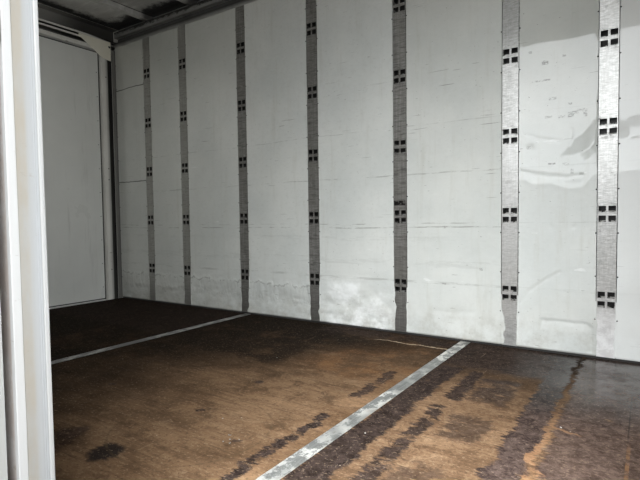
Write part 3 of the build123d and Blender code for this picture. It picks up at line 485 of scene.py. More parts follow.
def dull_metal(name, dark, light, roughness, factors, dirt, amount):
    """Metal with streaks along one direction, patches and grime; gives its roughness and bumps."""
    m = Finish(name)
    streak = m.noise(60, 4, 0.7, factors)
    cloud = m.noise(4, 5, 0.65)
    fleck = m.noise(38, 4, 0.7, shift=(1, 2, 3))
    m.colour = m.blend(dark, light, streak, 0.3, 0.7)
    m.tint(dirt, cloud, 0.42, 0.72, amount)
    m.tint(dirt, fleck, 0.62, 0.75, amount)
    rough = m.add(m.ramp(streak, 0.3, 0.7, roughness + 0.06, roughness - 0.06), m.ramp(cloud, 0.4, 0.7, 0.12))
    return m, rough, m.bump(streak, 0.0004, 0.4, m.bump(fleck, 0.0005, 0.4))


def fitting_finish():
    """Zinc coated hinges, locks, brackets and keepers."""
    m, rough, normal = dull_metal("fitting_metal", (0.44, 0.44, 0.43), (0.6, 0.6, 0.58), 0.34, (0.6, 0.6, 0.6),
                                  (0.2, 0.15, 0.1), 0.4)
    return m.done(rough, 0.85, normal)


def rail_finish():
    """Extruded rails: grey outside; inside, darker beside the floor, painted shade on the band and in the
    recess under the roof, and black mould on the top lip.
    """
    m, rough, normal = dull_metal("rail_aluminium", (0.4, 0.4, 0.385), (0.54, 0.54, 0.52), 0.36, (0.08, 2, 2),
                                  (0.12, 0.11, 0.1), 0.35)
    rise = m.rise
    inside = m.times(m.ramp(m.absolute(m.y), HALF + 0.05, HALF + 0.054, 0, 1),
                     m.ramp(m.x, FRONT + 0.05, FRONT + 0.054, 0, 1))
    # inside: darker beside the floor; painted shade on the band, deepening upwards, and in the recess under the
    # roof; black mould along the ragged top lip
    under = m.band(rise, -0.03, 0.014, 0.002)
    band = m.band(rise, 2.507, 2.5555, 0.0005)
    soot = m.times(band, m.ramp(rise, 2.508, 2.55, 0.93, 0.1))
    recess_shade = m.band(rise, 2.5565, 2.604, 0.0005, 0.88)
    ragged = m.noise(17, 5, 0.75, (0.8, 1, 1.6), (2, 0, 0))
    torn = m.add(rise, m.times(m.add(ragged, -0.5), 0.1))
    lip = m.times(m.ramp(rise, 2.604, 2.606), m.ramp(torn, 2.628, 2.645, 0.97, 0.35))
    dirt = m.times(m.most(m.times(under, 0.96), soot, recess_shade, lip), inside)
    m.over((0.018, 0.017, 0.016), dirt)
    rough = m.add(rough, m.times(dirt, 0.3))
    metallic = m.times(m.rest(dirt), 0.7)
    return m.done(rough, metallic, normal)


def strip_finish():
    """Floor strips: grey metal with ragged pale patches where the coating wore off."""
    m = Finish("strip_metal")
    along = m.noise(50, 4, 0.7, (2.5, 0.12, 1))
    ragged = m.noise(16, 6, 0.75, (1.2, 0.7, 1), (1, 4, 0))
    large = m.noise(2.4, 3, 0.6, (1, 1, 1), (0, 2.2, 0))
    m.colour = m.blend((0.165, 0.169, 0.161), (0.275, 0.279, 0.267), along, 0.3, 0.7)
    bare = m.times(m.ramp(ragged, 0.48, 0.54), m.ramp(large, 0.38, 0.54))
    m.over((0.69, 0.68, 0.645), bare)
    rust = m.times(m.ramp(ragged, 0.56, 0.6), m.ramp(along, 0.5, 0.7))
    m.over((0.34, 0.2, 0.1), rust, 0.45)
    edge_dirt = m.ramp(m.noise(30, 5, 0.75), 0.55, 0.72, 0.7)
    m.over((0.12, 0.1, 0.085), edge_dirt)
    far = m.ramp(m.x, -1.2, 0.3, 0, 0.45)
    m.over((0.16, 0.15, 0.14), far)
    rough = m.ramp(ragged, 0.4, 0.6, 0.34, 0.46)
    normal = m.bump(ragged, 0.0006, 0.5, m.bump(along, 0.0004, 0.4))
    return m.done(rough, 0.6, normal)


def painted(name, base, shade, roughness, dirt, scuffs, scuff_dirt, scuff_from=0.7, scuff_to=0.77):
    """Painted metal: slight colour changes, fine orange peel and scuffs; gives its roughness and bumps."""
    m = Finish(name)
    cloud = m.noise(1.8, 4, 0.6)
    streak = m.noise(5, 5, 0.7, (3, 3, 0.25))
    m.colour = m.blend(base, shade, cloud, 0.3, 0.7)
    m.tint(dirt, streak, 0.55, 0.78, 0.35)
    scar = m.ramp(m.noise(22, 3, 0.6, (0.6, 0.6, 3), (2, 1, 4)), scuff_from, scuff_to)
    m.over(scuff_dirt, scar, scuffs)
    rough = m.add(m.ramp(cloud, 0.3, 0.7, roughness + 0.05, roughness - 0.03), m.times(scar, 0.2))
    return m, rough, m.bump(m.noise(190, 2, 0.5), 0.0002, 0.25, m.bump(m.noise(2.2, 2, 0.5), 0.003, 0.3))


def paint_finish(name, base, shade, roughness, dirt, foot=0, coat=0, scuffs=0.4):
    """Painted sheet metal, with road dirt up to the height of the floor."""
    m, rough, normal = painted(name, base, shade, roughness, dirt, scuffs, dirt)
    if foot:
        low = m.times(m.ramp(m.z, 0.15, 0.9, 0, foot), m.ramp(m.noise(11, 5, 0.7), 0.35, 0.7))
        m.over((0.2, 0.17, 0.135), low)
    return m.done(rough, 0, normal, coat=coat)


def portal_finish():
    """Pale portal steel, scuffed, with painted shade inside its sections, along its lips and below the roof."""
    m, rough, normal = painted("portal_steel", (0.8, 0.79, 0.75), (0.68, 0.67, 0.63), 0.34, (0.3, 0.28, 0.24),
                               0.6, (0.16, 0.13, 0.1), 0.68, 0.74)
    apart = m.absolute(m.y)
    rise = m.rise
    # painted shade: the open side of each section, behind its lips, is dark
    hollow = m.times(m.band(m.x, PORTAL_BACK + 0.003, PORTAL_X - 0.007, 0.001),
                     m.ramp(apart, HALF + 0.05, HALF + 0.056, 0, 1),
                     m.most(m.ramp(apart, 1.0485, 1.0505), m.ramp(rise, 2.4475, 2.4495)))
    # painted shade on the inner face: along both lips and in a wedge below the roof
    face = m.ramp(m.x, PORTAL_X - 0.003, PORTAL_X - 0.001)
    outer_lip = m.times(m.ramp(apart, 1.15, 1.156, 0.8), m.ramp(apart, 1.194, 1.198, 0, 1))
    inner_lip = m.ramp(apart, 1.07, 1.108, 0.55)
    upper = m.times(m.ramp(m.add(rise, m.times(apart, 0.09)), 2.645, 2.66), m.ramp(apart, 0.25, 1, 1, 0.62))
    shade = m.times(face, m.most(outer_lip, inner_lip, upper))
    hollow = m.times(hollow, m.ramp(m.add(apart, m.ramp(rise, 2.6, 2.56, 0.2)), 0.45, 0.95, 0.94, 0.62))
    m.over((0.022, 0.021, 0.019), m.math("MINIMUM", m.add(hollow, shade), 1))
    return m.done(rough, 0, normal)


def jamb_finish():
    """White jambs with a bead at both edges and a stained, greyer face between them."""
    m = Finish("jamb_paint")
    cloud = m.noise(3, 5, 0.65, (1, 1, 0.4))
    m.colour = m.blend((0.97, 0.97, 0.965), (0.93, 0.93, 0.92), cloud, 0.3, 0.7)
    depth = m.less(m.times(m.y, -1), HALF)
    m.tint((0.76, 0.765, 0.755), depth, 0.013, 0.012, 0.8)
    face = m.band(depth, 0.0135, 0.0655, 0.0015)
    streak = m.noise(9, 5, 0.7, (1, 14, 0.1), (0, 3, 1))
    worn = m.blend((0.67, 0.69, 0.71), (0.6, 0.585, 0.545), depth, 0.018, 0.06)
    worn = m.blend(worn, (0.59, 0.595, 0.59), streak, 0.4, 0.66, 0.45)
    m.over(worn, face, 0.95)
    beige = m.times(m.band(depth, 0.046, 0.062, 0.01), m.ramp(m.noise(5, 5, 0.7, (1, 1, 0.5)), 0.36, 0.62))
    m.over((0.6, 0.52, 0.4), beige, 0.55)
    rust = m.ramp(m.noise(6, 5, 0.75, (1, 1, 0.8), (0, 0, 2)), 0.35, 0.62, 0.95, 0.35)
    lines = m.most(m.band(depth, 0.0655, 0.0663, 0.0008, 0.55), m.band(depth, 0.0125, 0.0132, 0.0006, 0.4))
    m.over((0.34, 0.3, 0.26), lines, rust)
    # brown tint outside, in the gap beside the folded door
    outside = m.times(m.ramp(depth, 0.0865, 0.0875), m.ramp(rust, 0.35, 0.95, 0.6, 0.25),
                      m.most(m.ramp(m.x, 0.108, 0.104), m.ramp(m.x, 1.892, 1.896)))
    m.over((0.6, 0.47, 0.4), outside)
    grit = m.noise(36, 4, 0.7, (0.6, 0.6, 1.4), (1, 1, 1))
    m.tint((0.48, 0.42, 0.34), grit, 0.64, 0.76, 0.4)
    rough = m.ramp(cloud, 0.3, 0.7, 0.42, 0.3)
    return m.done(rough, 0, m.bump(grit, 0.0004, 0.4))


def roof_finish():
    """Dull roof metal, streaky and blotchy on the inside, with painted shade along the side walls and the rear
    and a black line beside each bow, light paint on the outside.
    """
    m = Finish("roof_metal")
    streak = m.noise(12, 5, 0.7, (0.25, 2, 1), (2, 0, 0))
    cloud = m.noise(1.6, 5, 0.65, shift=(1, 0, 0))
    inner = m.blend((0.54, 0.535, 0.51), (0.7, 0.695, 0.67), streak, 0.35, 0.7)
    inner = m.blend(inner, (0.24, 0.232, 0.215), cloud, 0.4, 0.7, 0.55)
    rise = m.rise
    ragged = m.noise(9, 6, 0.78, shift=(3, 2, 0))
    wave = m.times(m.add(ragged, -0.5), 0.34)
    # painted shade: the ceiling goes black along the side walls and the rear, with ragged edges
    beside = m.ramp(m.add(m.absolute(m.y), wave), 1.03, 1.13)
    behind = m.ramp(m.add(m.x, wave), -2.9, -3.02)
    sheet = m.ramp(rise, 2.7035, 2.7045)
    # a black line beside each bow
    phase = m.phase(m.add(m.x, 100 * BOW_STEP - REAR - BOW_FIRST - BOW_WIDE / 2), BOW_STEP)
    line = m.ramp(phase, 0.01, 0.03, 0, 1)
    edge_shade_and_bow_line = m.most(m.times(m.most(beside, behind), 0.96), m.times(line, m.ramp(ragged, 0.3, 0.5, 0.95, 0.5)))
    inner = m.mix(m.times(sheet, edge_shade_and_bow_line), inner, (0.014, 0.014, 0.015))
    # painted shade: the bows darken towards the walls
    end = m.times(m.rest(sheet), m.ramp(m.absolute(m.y), 1.1, 1.16, 0.8))
    inner = m.mix(end, inner, (0.05, 0.048, 0.045))
    outer = m.blend((0.6, 0.61, 0.6), (0.52, 0.525, 0.515), cloud, 0.35, 0.7)
    lap = m.most(m.band(phase, 0.955, 0.963, 0.002), m.band(phase, 0.985, 0.999, 0.003))
    outer = m.mix(m.times(lap, m.ramp(ragged, 0.3, 0.45, 0.8, 0.35)), outer, (0.24, 0.24, 0.23))
    rim = m.most(m.ramp(m.absolute(m.y), HALF + 0.03, HALF + 0.034), m.ramp(m.absolute(m.x), 3.122, 3.126))
    outer = m.mix(m.times(rim, m.ramp(ragged, 0.35, 0.6, 0.6, 0.1)), outer, (0.22, 0.215, 0.2))
    above = m.ramp(m.z, FLOOR + 2.7052, FLOOR + 2.7068)
    m.colour = m.mix(above, inner, outer)
    rough = m.ramp(streak, 0.3, 0.7, 0.6, 0.42)
    return m.done(rough, 0.2, m.bump(streak, 0.0008, 0.4, m.bump(cloud, 0.004, 0.3)))


def rubber_finish():
    """Black rubber with some dust."""
    m = Finish("gasket_rubber")
    fine = m.noise(120, 3, 0.6)
    dust = m.noise(6, 5, 0.7)
    m.colour = m.blend((0.012, 0.012, 0.012), (0.025, 0.025, 0.024), fine, 0.3, 0.7)
    m.tint((0.1, 0.095, 0.085), dust, 0.5, 0.75, 0.5)
    return m.done(m.ramp(fine, 0.3, 0.7, 0.75, 0.55), 0, m.bump(fine, 0.0003, 0.5))


def lens_finish(name, deep, clear):
    """A ribbed lamp glass."""
    m = Finish(name)
    ribs = m.math("SINE", m.times(m.y, 900))
    cloud = m.noise(30, 3, 0.6)
    m.colour = m.blend(deep, clear, ribs, -1, 1)
    m.tint((0.12, 0.08, 0.06), cloud, 0.6, 0.75, 0.3)
    return m.done(0.12, 0, m.bump(ribs, 0.0005, 0.5), coat=0.6)


def ground_finish():
    """Plain pale studio floor."""
    m = Finish("studio_floor")
    cloud = m.noise(0.8, 3, 0.5)
    m.colour = m.blend((0.72, 0.72, 0.71), (0.76, 0.76, 0.75), cloud, 0.3, 0.7)
    return m.done(0.75)


finishes = {
    "lining_paint": lining_finish(),
    "post_metal": post_finish(),
    "floor_plywood": floor_finish(),
    "strip_metal": strip_finish(),
    "jamb_paint": jamb_finish(),
    "roof_metal": roof_finish(),
    "gasket_rubber": rubber_finish(),
    "underframe_steel": paint_finish("underframe_steel", (0.03, 0.03, 0.032), (0.055, 0.052, 0.05), 0.5,
                                     (0.13, 0.105, 0.08), foot=0.5),
    "rail_aluminium": rail_finish(),
    "outer_skin": paint_finish("outer_skin", (0.8, 0.81, 0.8), (0.76, 0.77, 0.76), 0.22, (0.42, 0.4, 0.36),
                               foot=0.35, coat=0.3, scuffs=0.25),
    "portal_steel": portal_finish(),
    "gusset_paint": paint_finish("gusset_paint", (0.93, 0.91, 0.8), (0.86, 0.83, 0.71), 0.36, (0.2, 0.17, 0.12),
                                 scuffs=0.6),
    "door_paint": paint_finish("door_paint", (0.76, 0.77, 0.745), (0.7, 0.71, 0.685), 0.3, (0.34, 0.335, 0.31),
                               scuffs=0.5),
    "fitting_metal": fitting_finish(),
    "amber_lens": lens_finish("amber_lens", (0.62, 0.22, 0.02), (0.85, 0.36, 0.05)),
    "red_lens": lens_finish("red_lens", (0.35, 0.01, 0.01), (0.62, 0.03, 0.03)),
}
for part in frame["record"]["subparts"]:
    for slot in nodes[part["node"]].material_slots:
        slot.material = finishes[part["material_slot"]]


# ---------------------------------------------------------------- pieces

def piece_from(mesh_data, name, slot_name, body="box", sharp=35):
    """Turn a bmesh into a piece that rides on a body and wears a slot's finish."""
    mesh = bpy.data.meshes.new(name)
    mesh_data.normal_update()
    mesh_data.to_mesh(mesh)
    mesh_data.free()
    for polygon in mesh.polygons:
        polygon.use_smooth = True
    mesh.set_sharp_from_angle(angle=math.radians(sharp))
    made = bpy.data.objects.new(name, mesh)
    scene.collection.objects.link(made)
    mesh.materials.append(finishes[slot_name])
    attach(made, body)
    return made


def side_frame(normal):
    """Two directions across a normal."""
    normal = Vector(normal).normalized()
    first = normal.cross(Vector((0, 0, 1)))
    if first.length < 0.1:
        first = Vector((1, 0, 0))
    first.normalize()
    return normal, first, normal.cross(first)


def add_dome(data, centre, normal, radius, height, sides=8, sink=0.0008):
    """Add one closed rivet head."""
    normal, across, up = side_frame(normal)
    centre = Vector(centre) - normal * sink
    rings = []
    for spread, rise in ((1, 0), (0.93, 0.45), (0.62, 0.86)):
        ring = []
        for index in range(sides):
            turn = 2 * math.pi * index / sides
            flat = across * math.cos(turn) + up * math.sin(turn)
            ring.append(data.verts.new(centre + flat * radius * spread + normal * (height + sink) * rise))
        rings.append(ring)
    tip = data.verts.new(centre + normal * (height + sink))
    data.faces.new(rings[0][::-1])
    skin(data, rings, capped=False)
    for index in range(sides):
        data.faces.new((rings[-1][index], rings[-1][(index + 1) % sides], tip))


def skin(data, loops, flip=False, capped=True, ring=False):
    """Faces between loops of points, one after another, with both ends capped or joined in a ring."""
    count = len(loops[0])
    for low, high in zip(loops, loops[1:] + (loops[:1] if ring else [])):
        for k in range(count):
            after = (k + 1) % count
            quad = (low[k], low[after], high[after], high[k])
            data.faces.new(quad[::-1] if flip else quad)
    if capped:
        data.faces.new(loops[0] if flip else loops[0][::-1])
        data.faces.new(loops[-1][::-1] if flip else loops[-1])


def rivets(name, places, slot_name, body="box", radius=0.0045, height=0.0022, sides=8):
    """One piece with a rivet head at each (point, normal)."""
    data = bmesh.new()
    for centre, normal in places:
        add_dome(data, centre, normal, radius, height, sides)
    return piece_from(data, name, slot_name, body, sharp=60)


# Spacing of the points that shape the wall sheets, closer together low down
SHEET_ROW, FOOT_STEP = 0.026, 0.012
# The sheets are pushed in less towards their rims, and stand just inside the CAD's faces
RIM_TOP, SHEET_INSET = 0.05, 0.00005
DENTED_BAY = (0.7, 1.25)


def battered(x):
    """How badly the foot of the wall is crumpled at x: worst between the fourth and the fifth post."""
    if -0.66 < x < 0.02:
        return 1.25
    return 0.55 if x < 0.02 else 0.12


def crumple(x, z, seed):
    """How far a wall sheet is pushed in at a place; z is measured from the floor."""
    near_foot = max(0, 1 - z / 0.4)
    point = Vector((x * 5 + seed, z * 9, seed))
    folds = abs(noise.noise(point)) + 0.6 * abs(noise.noise(point * 2.3)) + 0.4 * abs(noise.noise(point * 4.9))
    foot = 0.013 * near_foot ** 0.6 * folds * battered(x)
    # a ragged bruise at the height of a pallet's edge
    bruise = abs(noise.noise(Vector((x * 24, z * 30, seed)))) * math.exp(-((z - 0.165) / 0.028) ** 2)
    foot += 0.009 * bruise * (1 if -2.05 < x < -0.7 else 0)
    sway = 0.0016 * (noise.noise(Vector((x * 1.6, z * 1.1, seed))) + 0.7)
    fine = 0.0005 * (noise.noise(Vector((x * 9, z * 6, seed + 4))) + 0.7)
    return foot + sway + fine


# Dents seen in the photo: x, height, half width, half height, depth, slant
DENTS = (
    (0.947, 0.721, 0.016, 0.016, 0.003, 0),
    (1.066, 0.715, 0.012, 0.012, 0.003, 0),
    (0.331, 0.718, 0.014, 0.012, 0.003, 0),
    (0.559, 0.461, 0.012, 0.014, 0.004, 0),
    (0.837, 1.175, 0.03, 0.02, 0.003, 0),
    (1.085, 1.075, 0.05, 0.04, 0.004, 0.4),
    (-0.22, 0.22, 0.16, 0.12, 0.009, 0.2),
    (-0.44, 0.16, 0.1, 0.08, 0.007, 0.1),
    (-1.02, 0.18, 0.24, 0.06, 0.007, 0),
    (-1.72, 0.2, 0.26, 0.06, 0.007, 0.05),
    (-0.55, 1.15, 0.05, 0.14, 0.003, 0.3),
    (1.45, 0.3, 0.2, 0.1, 0.006, 0.2),
)


# Folds seen in the photo: depth, gentle width, steep width and the points (x, height) along them;
# the gentle side lies to the left of the direction of the points
FOLDS = (
    (0.0022, 0.014, 0.01, ((1.046, 1.173), (1.054, 1.215), (1.051, 1.251))),
    (0.0022, 0.018, 0.008, ((0.775, 1.262), (0.791, 1.26), (0.863, 1.228), (0.939, 1.203), (0.99, 1.193))),
    (0.0014, 0.022, 0.012, ((0.775, 1.046), (0.846, 1.02), (0.94, 1.002), (1.031, 0.991), (1.1, 1))),
    (-0.0013, 0.03, 0.03, ((0.785, 0.998), (0.811, 0.991), (0.859, 0.956), (0.94, 0.965), (1.031, 0.93),
                             (1.108, 0.932), (1.186, 1.03))),
    (0.005, 0.03, 0.05, ((0.171, 0.023), (0.246, 0.217), (0.276, 0.375), (0.348, 0.463), (0.513, 0.537),
                           (0.604, 0.606))),
    (0.004, 0.04, 0.008, ((0.25, 0.168), (0.38, 0.17), (0.51, 0.18))),
    (0.003, 0.02, 0.008, ((0.795, 0.27), (0.835, 0.34), (0.9, 0.395), (0.999, 0.461))),
    (0.006, 0.012, 0.06, ((0.9, 0.184), (1.02, 0.186), (1.135, 0.182), (1.158, 0.16), (1.166, 0.033))),
)


def fold_depth(x, z, deep, gentle, steep, points):
    """Depth of one fold at a place: it grows over the gentle side and ends within the steep side."""
    best = 0
    for (x0, z0), (x1, z1) in zip(points, points[1:]):
        along, up = x1 - x0, z1 - z0
        length = math.hypot(along, up)
        t = ((x - x0) * along + (z - z0) * up) / length
        side = ((z - z0) * along - (x - x0) * up) / length
        beyond = max(0, -t, t - length)
        reach = gentle if side > 0 else steep
        gone = math.hypot(side / reach, beyond / min(gentle, steep * 2))
        if gone < 1:
            best = max(best, (1 - gone) ** (1 if side > 0 else 1.4))
    return best * deep


# The largest dent, beside the seventh post: (x, height) points of its upper and its deepest edge
DENT_TOP = ((0.996, 1.116), (1.035, 1.159), (1.073, 1.204), (1.105, 1.227), (1.126, 1.261), (1.157, 1.299),
            (1.19, 1.31))
DENT_FOOT = ((0.996, 1.116), (1.052, 1.118), (1.106, 1.131), (1.143, 1.152), (1.158, 1.18), (1.19, 1.215))
DENT_SLOPE, DENT_RETURN = 0.15, 0.06


def height_at(points, x):
    """Height at x of a line through (x, height) points."""
    for (x0, z0), (x1, z1) in zip(points, points[1:]):
        if x <= x1:
            return z0 + (z1 - z0) * (x - x0) / (x1 - x0)
    return points[-1][1]


def large_dent(x, z):
    """Depth of the largest dent: it deepens from its upper edge down to its foot and then comes back."""
    if x <= DENT_TOP[0][0]:
        return 0
    top, foot = height_at(DENT_TOP, x), height_at(DENT_FOOT, x)
    deep = DENT_SLOPE * max(0, top - max(z, foot))
    if z < foot:
        deep *= max(0, 1 - (foot - z) / DENT_RETURN) ** 1.4
    return deep


def dents(x, z):
    """Depth of every dent and fold at a place, with shaky outlines."""
    shake = Vector((x * 22, z * 22, 3))
    x += 0.005 * noise.noise(shake)
    z += 0.005 * noise.noise(shake + Vector((7, 7, 7)))
    depth = large_dent(x, z) + sum(fold_depth(x, z, *fold) for fold in FOLDS)
    for middle, height, wide, high, deep, slant in DENTS:
        across = (x - middle) / wide
        up = (z - height - slant * (x - middle)) / high
        depth += deep * math.exp(-(across * across + up * up))
    return depth


def stops(length, fine_end, fine, coarse):
    """Distances from 0 to length, close together up to fine_end."""
    fine_end = min(fine_end, length)
    fine_count = max(1, round(fine_end / fine))
    places = [fine_end * k / fine_count for k in range(fine_count)]
    rest = length - fine_end
    if rest < coarse / 2:
        return places + [length]
    coarse_count = max(1, round(rest / coarse))
    return places + [fine_end + rest * k / coarse_count for k in range(coarse_count + 1)]


def sheet_solid(data, corner, along, up, inward, size, thick, push, low=0, step=0.02,
                row=FOOT_STEP, fine_high=0.4, rim_wide=0.05):
    """Add a closed panel whose front is a fine grid pushed in by push(a, b); its foot is at height low."""
    wide, high = size
    across = stops(wide, wide, step, step)
    heights = stops(high, max(0, fine_high - low), row, SHEET_ROW)
    columns = len(across) - 1
    rows = len(heights) - 1
    front = []
    for b in heights:
        line = []
        for a in across:
            rim = min(1, a / rim_wide, (wide - a) / rim_wide, (high - b) / RIM_TOP)
            depth = push(a, b) * max(0, rim) + SHEET_INSET
            line.append(data.verts.new(corner + along * a + up * b + inward * depth))
        front.append(line)
    rim_loop = [front[0][c] for c in range(columns + 1)]
    rim_loop += [front[r][columns] for r in range(1, rows + 1)]
    rim_loop += [front[rows][c] for c in range(columns - 1, -1, -1)]
    rim_loop += [front[r][0] for r in range(rows - 1, 0, -1)]
    back_loop = []
    for vertex in rim_loop:
        offset = vertex.co - corner
        flat = corner + along * offset.dot(along) + up * offset.dot(up)
        back_loop.append(data.verts.new(flat + inward * thick))
    for lower, upper in zip(front, front[1:]):
        for c in range(columns):
            data.faces.new((lower[c], lower[c + 1], upper[c + 1], upper[c]))
    skin(data, [back_loop, rim_loop], capped=False)
    data.faces.new(back_loop[::-1])


def box_round(points):
    """The lowest and the highest corner of the box round some points."""
    low = Vector([min(p[i] for p in points) for i in range(3)])
    high = Vector([max(p[i] for p in points) for i in range(3)])
    return low, high


def solids_of(node):
    """Boxes of the separate solids in a CAD node."""
    data = bmesh.new()
    data.from_mesh(nodes[node].data)
    bmesh.ops.remove_doubles(data, verts=data.verts, dist=1e-6)
    seen = set()
    boxes = []
    for start in data.verts:
        if start in seen:
            continue
        group, heap = [], [start]
        seen.add(start)
        while heap:
            vertex = heap.pop()
            group.append(vertex.co.copy())
            for edge in vertex.link_edges:
                other = edge.other_vert(vertex)
                if other not in seen:
                    seen.add(other)
                    heap.append(other)
        boxes.append(box_round(group))
    data.free()
    return sorted(boxes, key=lambda pair: tuple(round(v, 4) for v in pair[0]))


def wall_sheets(node, side):
    """Dented sheets in place of one side wall's plain lining."""
    data = bmesh.new()
    for index, (low, high) in enumerate(solids_of(node)):
        if side > 0:
            corner, along = Vector((low.x, low.y, low.z)), Vector((1, 0, 0))
            start, way = low.x, 1
        else:
            corner, along = Vector((high.x, high.y, low.z)), Vector((-1, 0, 0))
            start, way = high.x, -1
        up, inward = Vector((0, 0, 1)), Vector((0, side, 0))

        def push(a, b, corner=corner, start=start, way=way, index=index):
            x = start + way * a
            z = corner.z + b - FLOOR
            extra = dents(x, z) if side > 0 else 0
            return crumple(x, z, index * 3.7 + side) + extra

        size = (high.x - low.x, high.z - low.z)
        worst = side > 0 and DENTED_BAY[0] < low.x and high.x < DENTED_BAY[1]
        detail = (0.0065, 0.0075, 1.4, 0.012) if worst else (0.02, FOOT_STEP, 0.4, 0.05)
        sheet_solid(data, corner, along, up, inward, size, high.y - low.y, push, low.z - FLOOR, *detail)
    made = piece_from(data, node + "_sheets", "lining_paint", sharp=60)
    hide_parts(node)


def front_sheets():
    """Sheets in place of the front wall's plain lining."""
    data = bmesh.new()
    for index, (low, high) in enumerate(solids_of("front_lining")):
        corner = Vector((low.x, high.y, low.z))

        def push(a, b, top=high.y, index=index):
            return crumple(top - a, b, 20 + index * 2.9)

        size = (high.y - low.y, high.z - low.z)
        sheet_solid(data, corner, Vector((0, -1, 0)), Vector((0, 0, 1)), Vector((1, 0, 0)), size,
                    high.x - low.x, push)
    made = piece_from(data, "front_lining_sheets", "lining_paint", sharp=40)
    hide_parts("front_lining")


wall_sheets("left_lining", 1)
wall_sheets("right_lining", -1)
front_sheets()

# Rivets beside the posts inside, and on the same lines outside
RIVET_FIRST, RIVET_STEP, RIVET_ASIDE = 0.216, 0.235, 0.0515
RIVET_HEIGHTS = [FLOOR + RIVET_FIRST + RIVET_STEP * k for k in range(10)]


def beside(posts):
    """Places of the two lines of rivets beside each post."""
    return [x + side * RIVET_ASIDE for x in posts for side in (-1, 1)]


inner = [((x, HALF, z), (0, -1, 0)) for x in beside(POSTS) for z in RIVET_HEIGHTS]
inner += [((x, -HALF, z), (0, 1, 0)) for x in beside(RIGHT_POSTS) for z in RIVET_HEIGHTS]
inner += [((FRONT, y, z), (-1, 0, 0)) for y in beside(FRONT_POSTS) for z in RIVET_HEIGHTS]
inner += [((-3.045, side * HALF, z), (0, -side, 0)) for side in (-1, 1) for z in RIVET_HEIGHTS]
rivets("inner_rivets", inner, "underframe_steel")

outer = [((x, HALF + WALL, z), (0, 1, 0)) for x in beside(POSTS) for z in RIVET_HEIGHTS[:-1]]
outer += [((x, -HALF - WALL, z), (0, -1, 0)) for x in beside(RIGHT_POSTS) for z in RIVET_HEIGHTS[:-1]]
outer += [((FRONT + WALL, y, z), (1, 0, 0)) for y in beside(FRONT_POSTS) for z in RIVET_HEIGHTS[:-1]]
rivets("outer_rivets", outer, "outer_skin", radius=0.0055, height=0.0026)

# Rivets along the bottom and top rails outside, none in front of the folded side doors
RAIL_STEP = 0.15
RAIL_HEIGHTS = (FLOOR + 0.055, FLOOR + 2.486)
rail_rivets = []
for x in [-3 + RAIL_STEP * k for k in range(41)]:
    for side in (1, -1):
        if side > 0 or not DOORWAY[0] - 0.08 < x < DOORWAY[1] + 0.08:
            rail_rivets += [((x, side * (HALF + OUTER), z), (0, side, 0)) for z in RAIL_HEIGHTS]
for y in [-1.05 + RAIL_STEP * k for k in range(15)]:
    rail_rivets += [((FRONT + OUTER, y, z), (1, 0, 0)) for z in RAIL_HEIGHTS]
rivets("rail_rivets", rail_rivets, "rail_aluminium", radius=0.0055, height=0.0026)

# Floor bolts, let in flush with the boards
bolts = [((x, y, FLOOR - 0.0005), (0, 0, 1))
         for x in (-2.531, -1.934, -1.04, -0.74, -0.14, 0.56, 1.16, 1.76, 2.66)
         for y in (-0.88, -0.468, -0.055, 0.358, 0.77)]
rivets("floor_bolts", bolts, "floor_plywood", radius=0.013, height=0.0012, sides=14)

# Flakes of paint that lie on the floor: x, y, length, width, turn
FLAKES = ((0.15, -0.575, 0.022, 0.012, 0.3), (0.176, -0.6, 0.014, 0.01, 1.1), (0.196, -0.622, 0.02, 0.011, 2),
          (0.206, -0.585, 0.01, 0.007, 0.6), (0.168, -0.626, 0.009, 0.007, 1.7),
          (1.15, 0.124, 0.016, 0.008, 2.4), (0.02, -0.48, 0.01, 0.006, 0.9), (-0.33, 0.3, 0.01, 0.007, 0.2),
          (0.56, -0.3, 0.011, 0.007, 1.4))


def flakes():
    """Thin curled plates that stand just above the floor."""
    data = bmesh.new()
    for index, (x, y, length, width, turned) in enumerate(FLAKES):
        rings = [[], []]
        for k in range(9):
            angle = 2 * math.pi * k / 9
            reach = 0.45 + 0.5 * abs(noise.noise(Vector((index * 3.1, k * 1.7, 0))))
            a, b = length / 2 * math.cos(angle) * reach, width / 2 * math.sin(angle) * reach
            spot = (x + a * math.cos(turned) - b * math.sin(turned),
                    y + a * math.sin(turned) + b * math.cos(turned))
            curl = 0.0016 + 0.0012 * math.cos(angle * 2 + index)
            rings[0].append(data.verts.new((*spot, FLOOR + 0.0002)))
            rings[1].append(data.verts.new((*spot, FLOOR + curl)))
        skin(data, rings)
    piece_from(data, "paint_flakes", "strip_metal", sharp=30)


flakes()

# Gusset bolts, rivets along the rear doors' edges and on the portal's posts
gusset_bolts = [((PORTAL_X + 0.0052, side * 1.131, FLOOR + 2.5), (1, 0, 0)) for side in (-1, 1)]
rivets("gusset_bolts", gusset_bolts, "underframe_steel", radius=0.011, height=0.007, sides=6)
for door, side in (("rear_left", 1), ("rear_right", -1)):
    edge = [((REAR, side * y, FLOOR + 0.13 + 0.234 * k), (1, 0, 0)) for y in (1.012, 0.036) for k in range(10)]
    rivets(door + "_rivets", edge, "underframe_steel", door + "_door", radius=0.0045, height=0.0018)
post_rivets = [((PORTAL_X, side * 1.086, FLOOR + z), (1, 0, 0)) for side in (-1, 1)
               for z in (1.194, 1.304, 0.3, 2.2)]
rivets("portal_rivets", post_rivets, "underframe_steel", radius=0.006, height=0.002)


